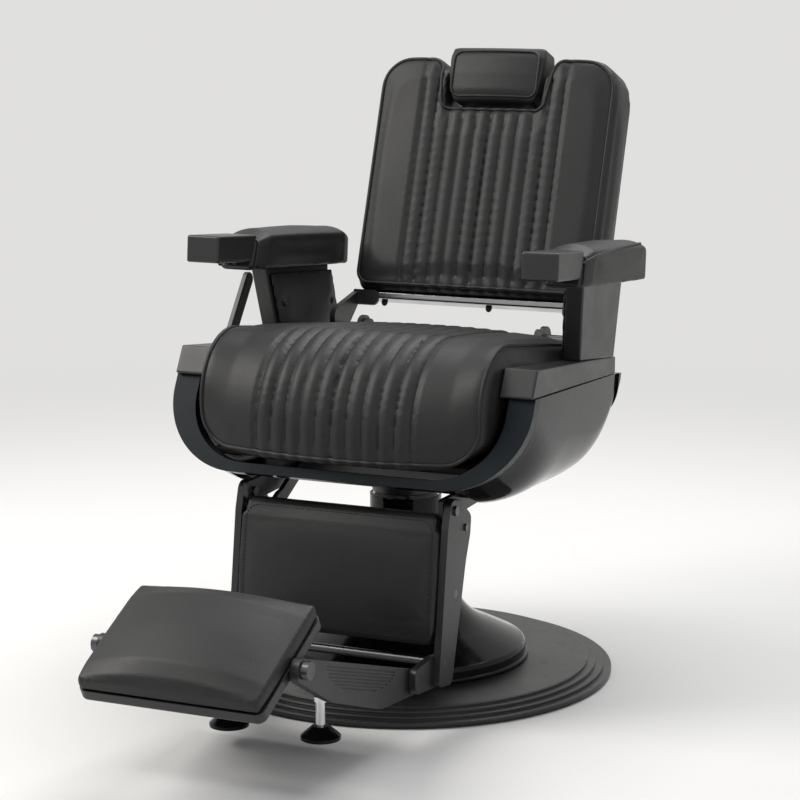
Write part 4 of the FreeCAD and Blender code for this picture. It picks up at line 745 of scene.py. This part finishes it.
def border(piece, node, foot, up, out, inset, radius):
    """Points on a pad's skin that run round its front, an inset inside the CAD solid's edge."""
    skin = BVHTree.FromObject(piece, bpy.context.evaluated_depsgraph_get())
    highs = [(v.co - foot).dot(up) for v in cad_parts[node].data.vertices]
    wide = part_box(node)[1].x - inset
    low, high = min(highs) + inset, max(highs) - inset
    around = rounded_path([(-wide, low, radius), (-wide, high, radius),
                           (wide, high, radius), (wide, low, radius)], 0.006, True)
    return [on_skin(skin, foot + Vector((x, 0, 0)) + up * y, out) for x, y in around]


head_border = border(head, "headrest_pad", back_foot, back_up, back_out, 0.011, 0.016)
trim("headrest_welt", [head_border], True, welt, welt_sizes | {"Radius": 0.0024}, "headrest")

# Leg rest: two side plates on pins with a stuffed calf pad on a ply board between them.
# Blackened cross rods tie the plates; the foot brackets are bolted inside their lower ends.
dress(satin_steel, "leg_plate_left", "leg_plate_right", "foot_brackets")
dress(blackened, "cross_rods", "knee_pins", "toe_pins")
leg_lean = math.radians(7.9)
leg_out = Vector((0, -math.cos(leg_lean), math.sin(leg_lean)))
leg_up = Vector((0, math.sin(leg_lean), math.cos(leg_lean)))
calf = stuffed("calf_pad", "calf_sewn", 0.005, 0.003, 0.006, lambda place: -leg_out)
finish_soft(calf, "calf_pad", "leg_rest")
calf_low, calf_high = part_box("calf_pad")
calf_border = border(calf, "calf_pad", calf_low * 0.5 + calf_high * 0.5, leg_up, leg_out, 0.012, 0.022)
trim("calf_stitching", [calf_border], True, stitches, thread_sizes, "leg_rest")

# Footrest: cast arms joined by a step plate on two chromed stems with cone feet.
# The tread is a stuffed pad in a steel pan that turns over on two knobbed pins.
dress(satin_steel, "foot_arm_left", "foot_arm_right", "step_plate", "tread_pan")
dress(gloss_black, "stand_feet")
dress(chrome, "stand_stems")
dress(blackened, "tread_pins")
tilt = math.radians(27)
tread_top = Vector((0, -math.sin(tilt), math.cos(tilt)))
tread = stuffed("tread_cushion", "tread_sewn", 0.005, 0.004, 0.014, lambda place: -tread_top)
tread_low, tread_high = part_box("tread_cushion")
tread_mid = 0.5 * (tread_low + tread_high)
tread_back = Vector((0, math.cos(tilt), math.sin(tilt)))
tread_swell, tread_half_depth = 0.008, 0.13
for vertex, outward in zip(tread.data.vertices, [v.normal.copy() for v in tread.data.vertices]):
    across = (vertex.co.x - tread_mid.x) / (tread_high.x - tread_mid.x)
    along = (vertex.co - tread_mid).dot(tread_back) / tread_half_depth
    crowned = max(0, 1 - across * across) * max(0, 1 - along * along)
    vertex.co += tread_top * (tread_swell * crowned * eased(outward.dot(tread_top), 0.2, 0.7))
finish_soft(tread, "tread_cushion", "tread")

# Recline linkage: a flat steel lever on a boss outside the shell, and the two push rods
# that swing the leg rest up as the back goes down.
dress(satin_steel, "recline_lever", "lever_boss", "push_rods")

# Studio: a flat pale floor that fades into a pale backdrop, large soft lamps and the camera.
# The camera stands where the photograph was taken from.
backdrop = (0.75, 0.745, 0.73, 1)


def seen_rays(start):
    """1 for rays that look at the studio: from the camera, a glossy surface or through glass."""
    kinds = [start.node("LightPath", out=f"Is {kind} Ray") for kind in ("Camera", "Glossy", "Transmission")]
    return start.sum("MAXIMUM", start.sum("MAXIMUM", kinds[0], kinds[1]), kinds[2])


def pale_floor():
    """Matt pale floor, hardly mottled, that turns into the backdrop away from the chair."""
    material, start, place = new_finish("pale_floor")
    mottle = speckle(start, place, 3, 4)
    paint = start.node("BsdfPrincipled", {}, {
        "Base Color": between(start, mottle, (0.737, 0.728, 0.713), (0.76, 0.75, 0.735)), "Roughness": 0.7})
    away = start.node("VectorMath", {"operation": "LENGTH"}, {0: place}, "Value")
    far = start.node("MapRange", {"interpolation_type": "SMOOTHSTEP"},
                     {"Value": away, "From Min": 1.1, "From Max": 3.6})
    glow = start.node("Emission", {}, {"Color": backdrop, "Strength": 1.0})
    floor = start.node("MixShader", {}, {0: far * seen_rays(start), 1: paint, 2: glow})
    start.node("OutputMaterial", {}, {"Surface": floor})
    return material


floor_mesh = bpy.data.meshes.new("studio_floor")
floor_mesh.from_pydata([(-40, -40, 0), (40, -40, 0), (40, 40, 0), (-40, 40, 0)], [], [(0, 1, 2, 3)])
floor_mesh.materials.append(pale_floor())
studio = bpy.data.objects.new("studio_floor", floor_mesh)
scene.collection.objects.link(studio)

lamps = {
    "key_softbox": ((-2.6, -1.5, 3.1), (0, -0.1, 0.55), 2.2, 120, (1.0, 0.98, 0.95)),
    "fill_softbox": ((3.2, -2.2, 1.8), (0, 0, 0.5), 2.0, 14, (0.95, 0.97, 1.0)),
    "top_softbox": ((0.3, 1.3, 3.4), (0, 0.1, 0.5), 2.2, 80, (1.0, 1.0, 1.0)),
}
for name, (place, target, size, power, colour) in lamps.items():
    lamp = bpy.data.lights.new(name, "AREA")
    lamp.size = size
    lamp.energy = power
    lamp.color = colour
    holder = bpy.data.objects.new(name, lamp)
    holder.location = place
    holder.rotation_euler = (Vector(target) - Vector(place)).to_track_quat("-Z", "Y").to_euler()
    scene.collection.objects.link(holder)

world = bpy.data.worlds.new("studio_air")
world.use_nodes = True
world.node_tree.nodes.clear()
air = Wire(world.node_tree)
soft_light = air.node("Background", {}, {"Color": (0.9, 0.92, 0.95, 1), "Strength": 0.5})
wall = air.node("Background", {}, {"Color": backdrop, "Strength": 1.0})
shown = air.node("MixShader", {}, {0: seen_rays(air), 1: soft_light, 2: wall})
air.node("OutputWorld", {}, {"Surface": shown})
scene.world = world

lens = bpy.data.cameras.new("photo_camera")
lens.sensor_width = 36
lens.lens = 105.86
camera = bpy.data.objects.new("photo_camera", lens)
camera.location = (1.621, -3.631, 1.185)
camera.rotation_euler = (math.radians(79.853), 0, math.radians(24.2))
scene.collection.objects.link(camera)
scene.camera = camera
scene.view_settings.view_transform = "Standard"
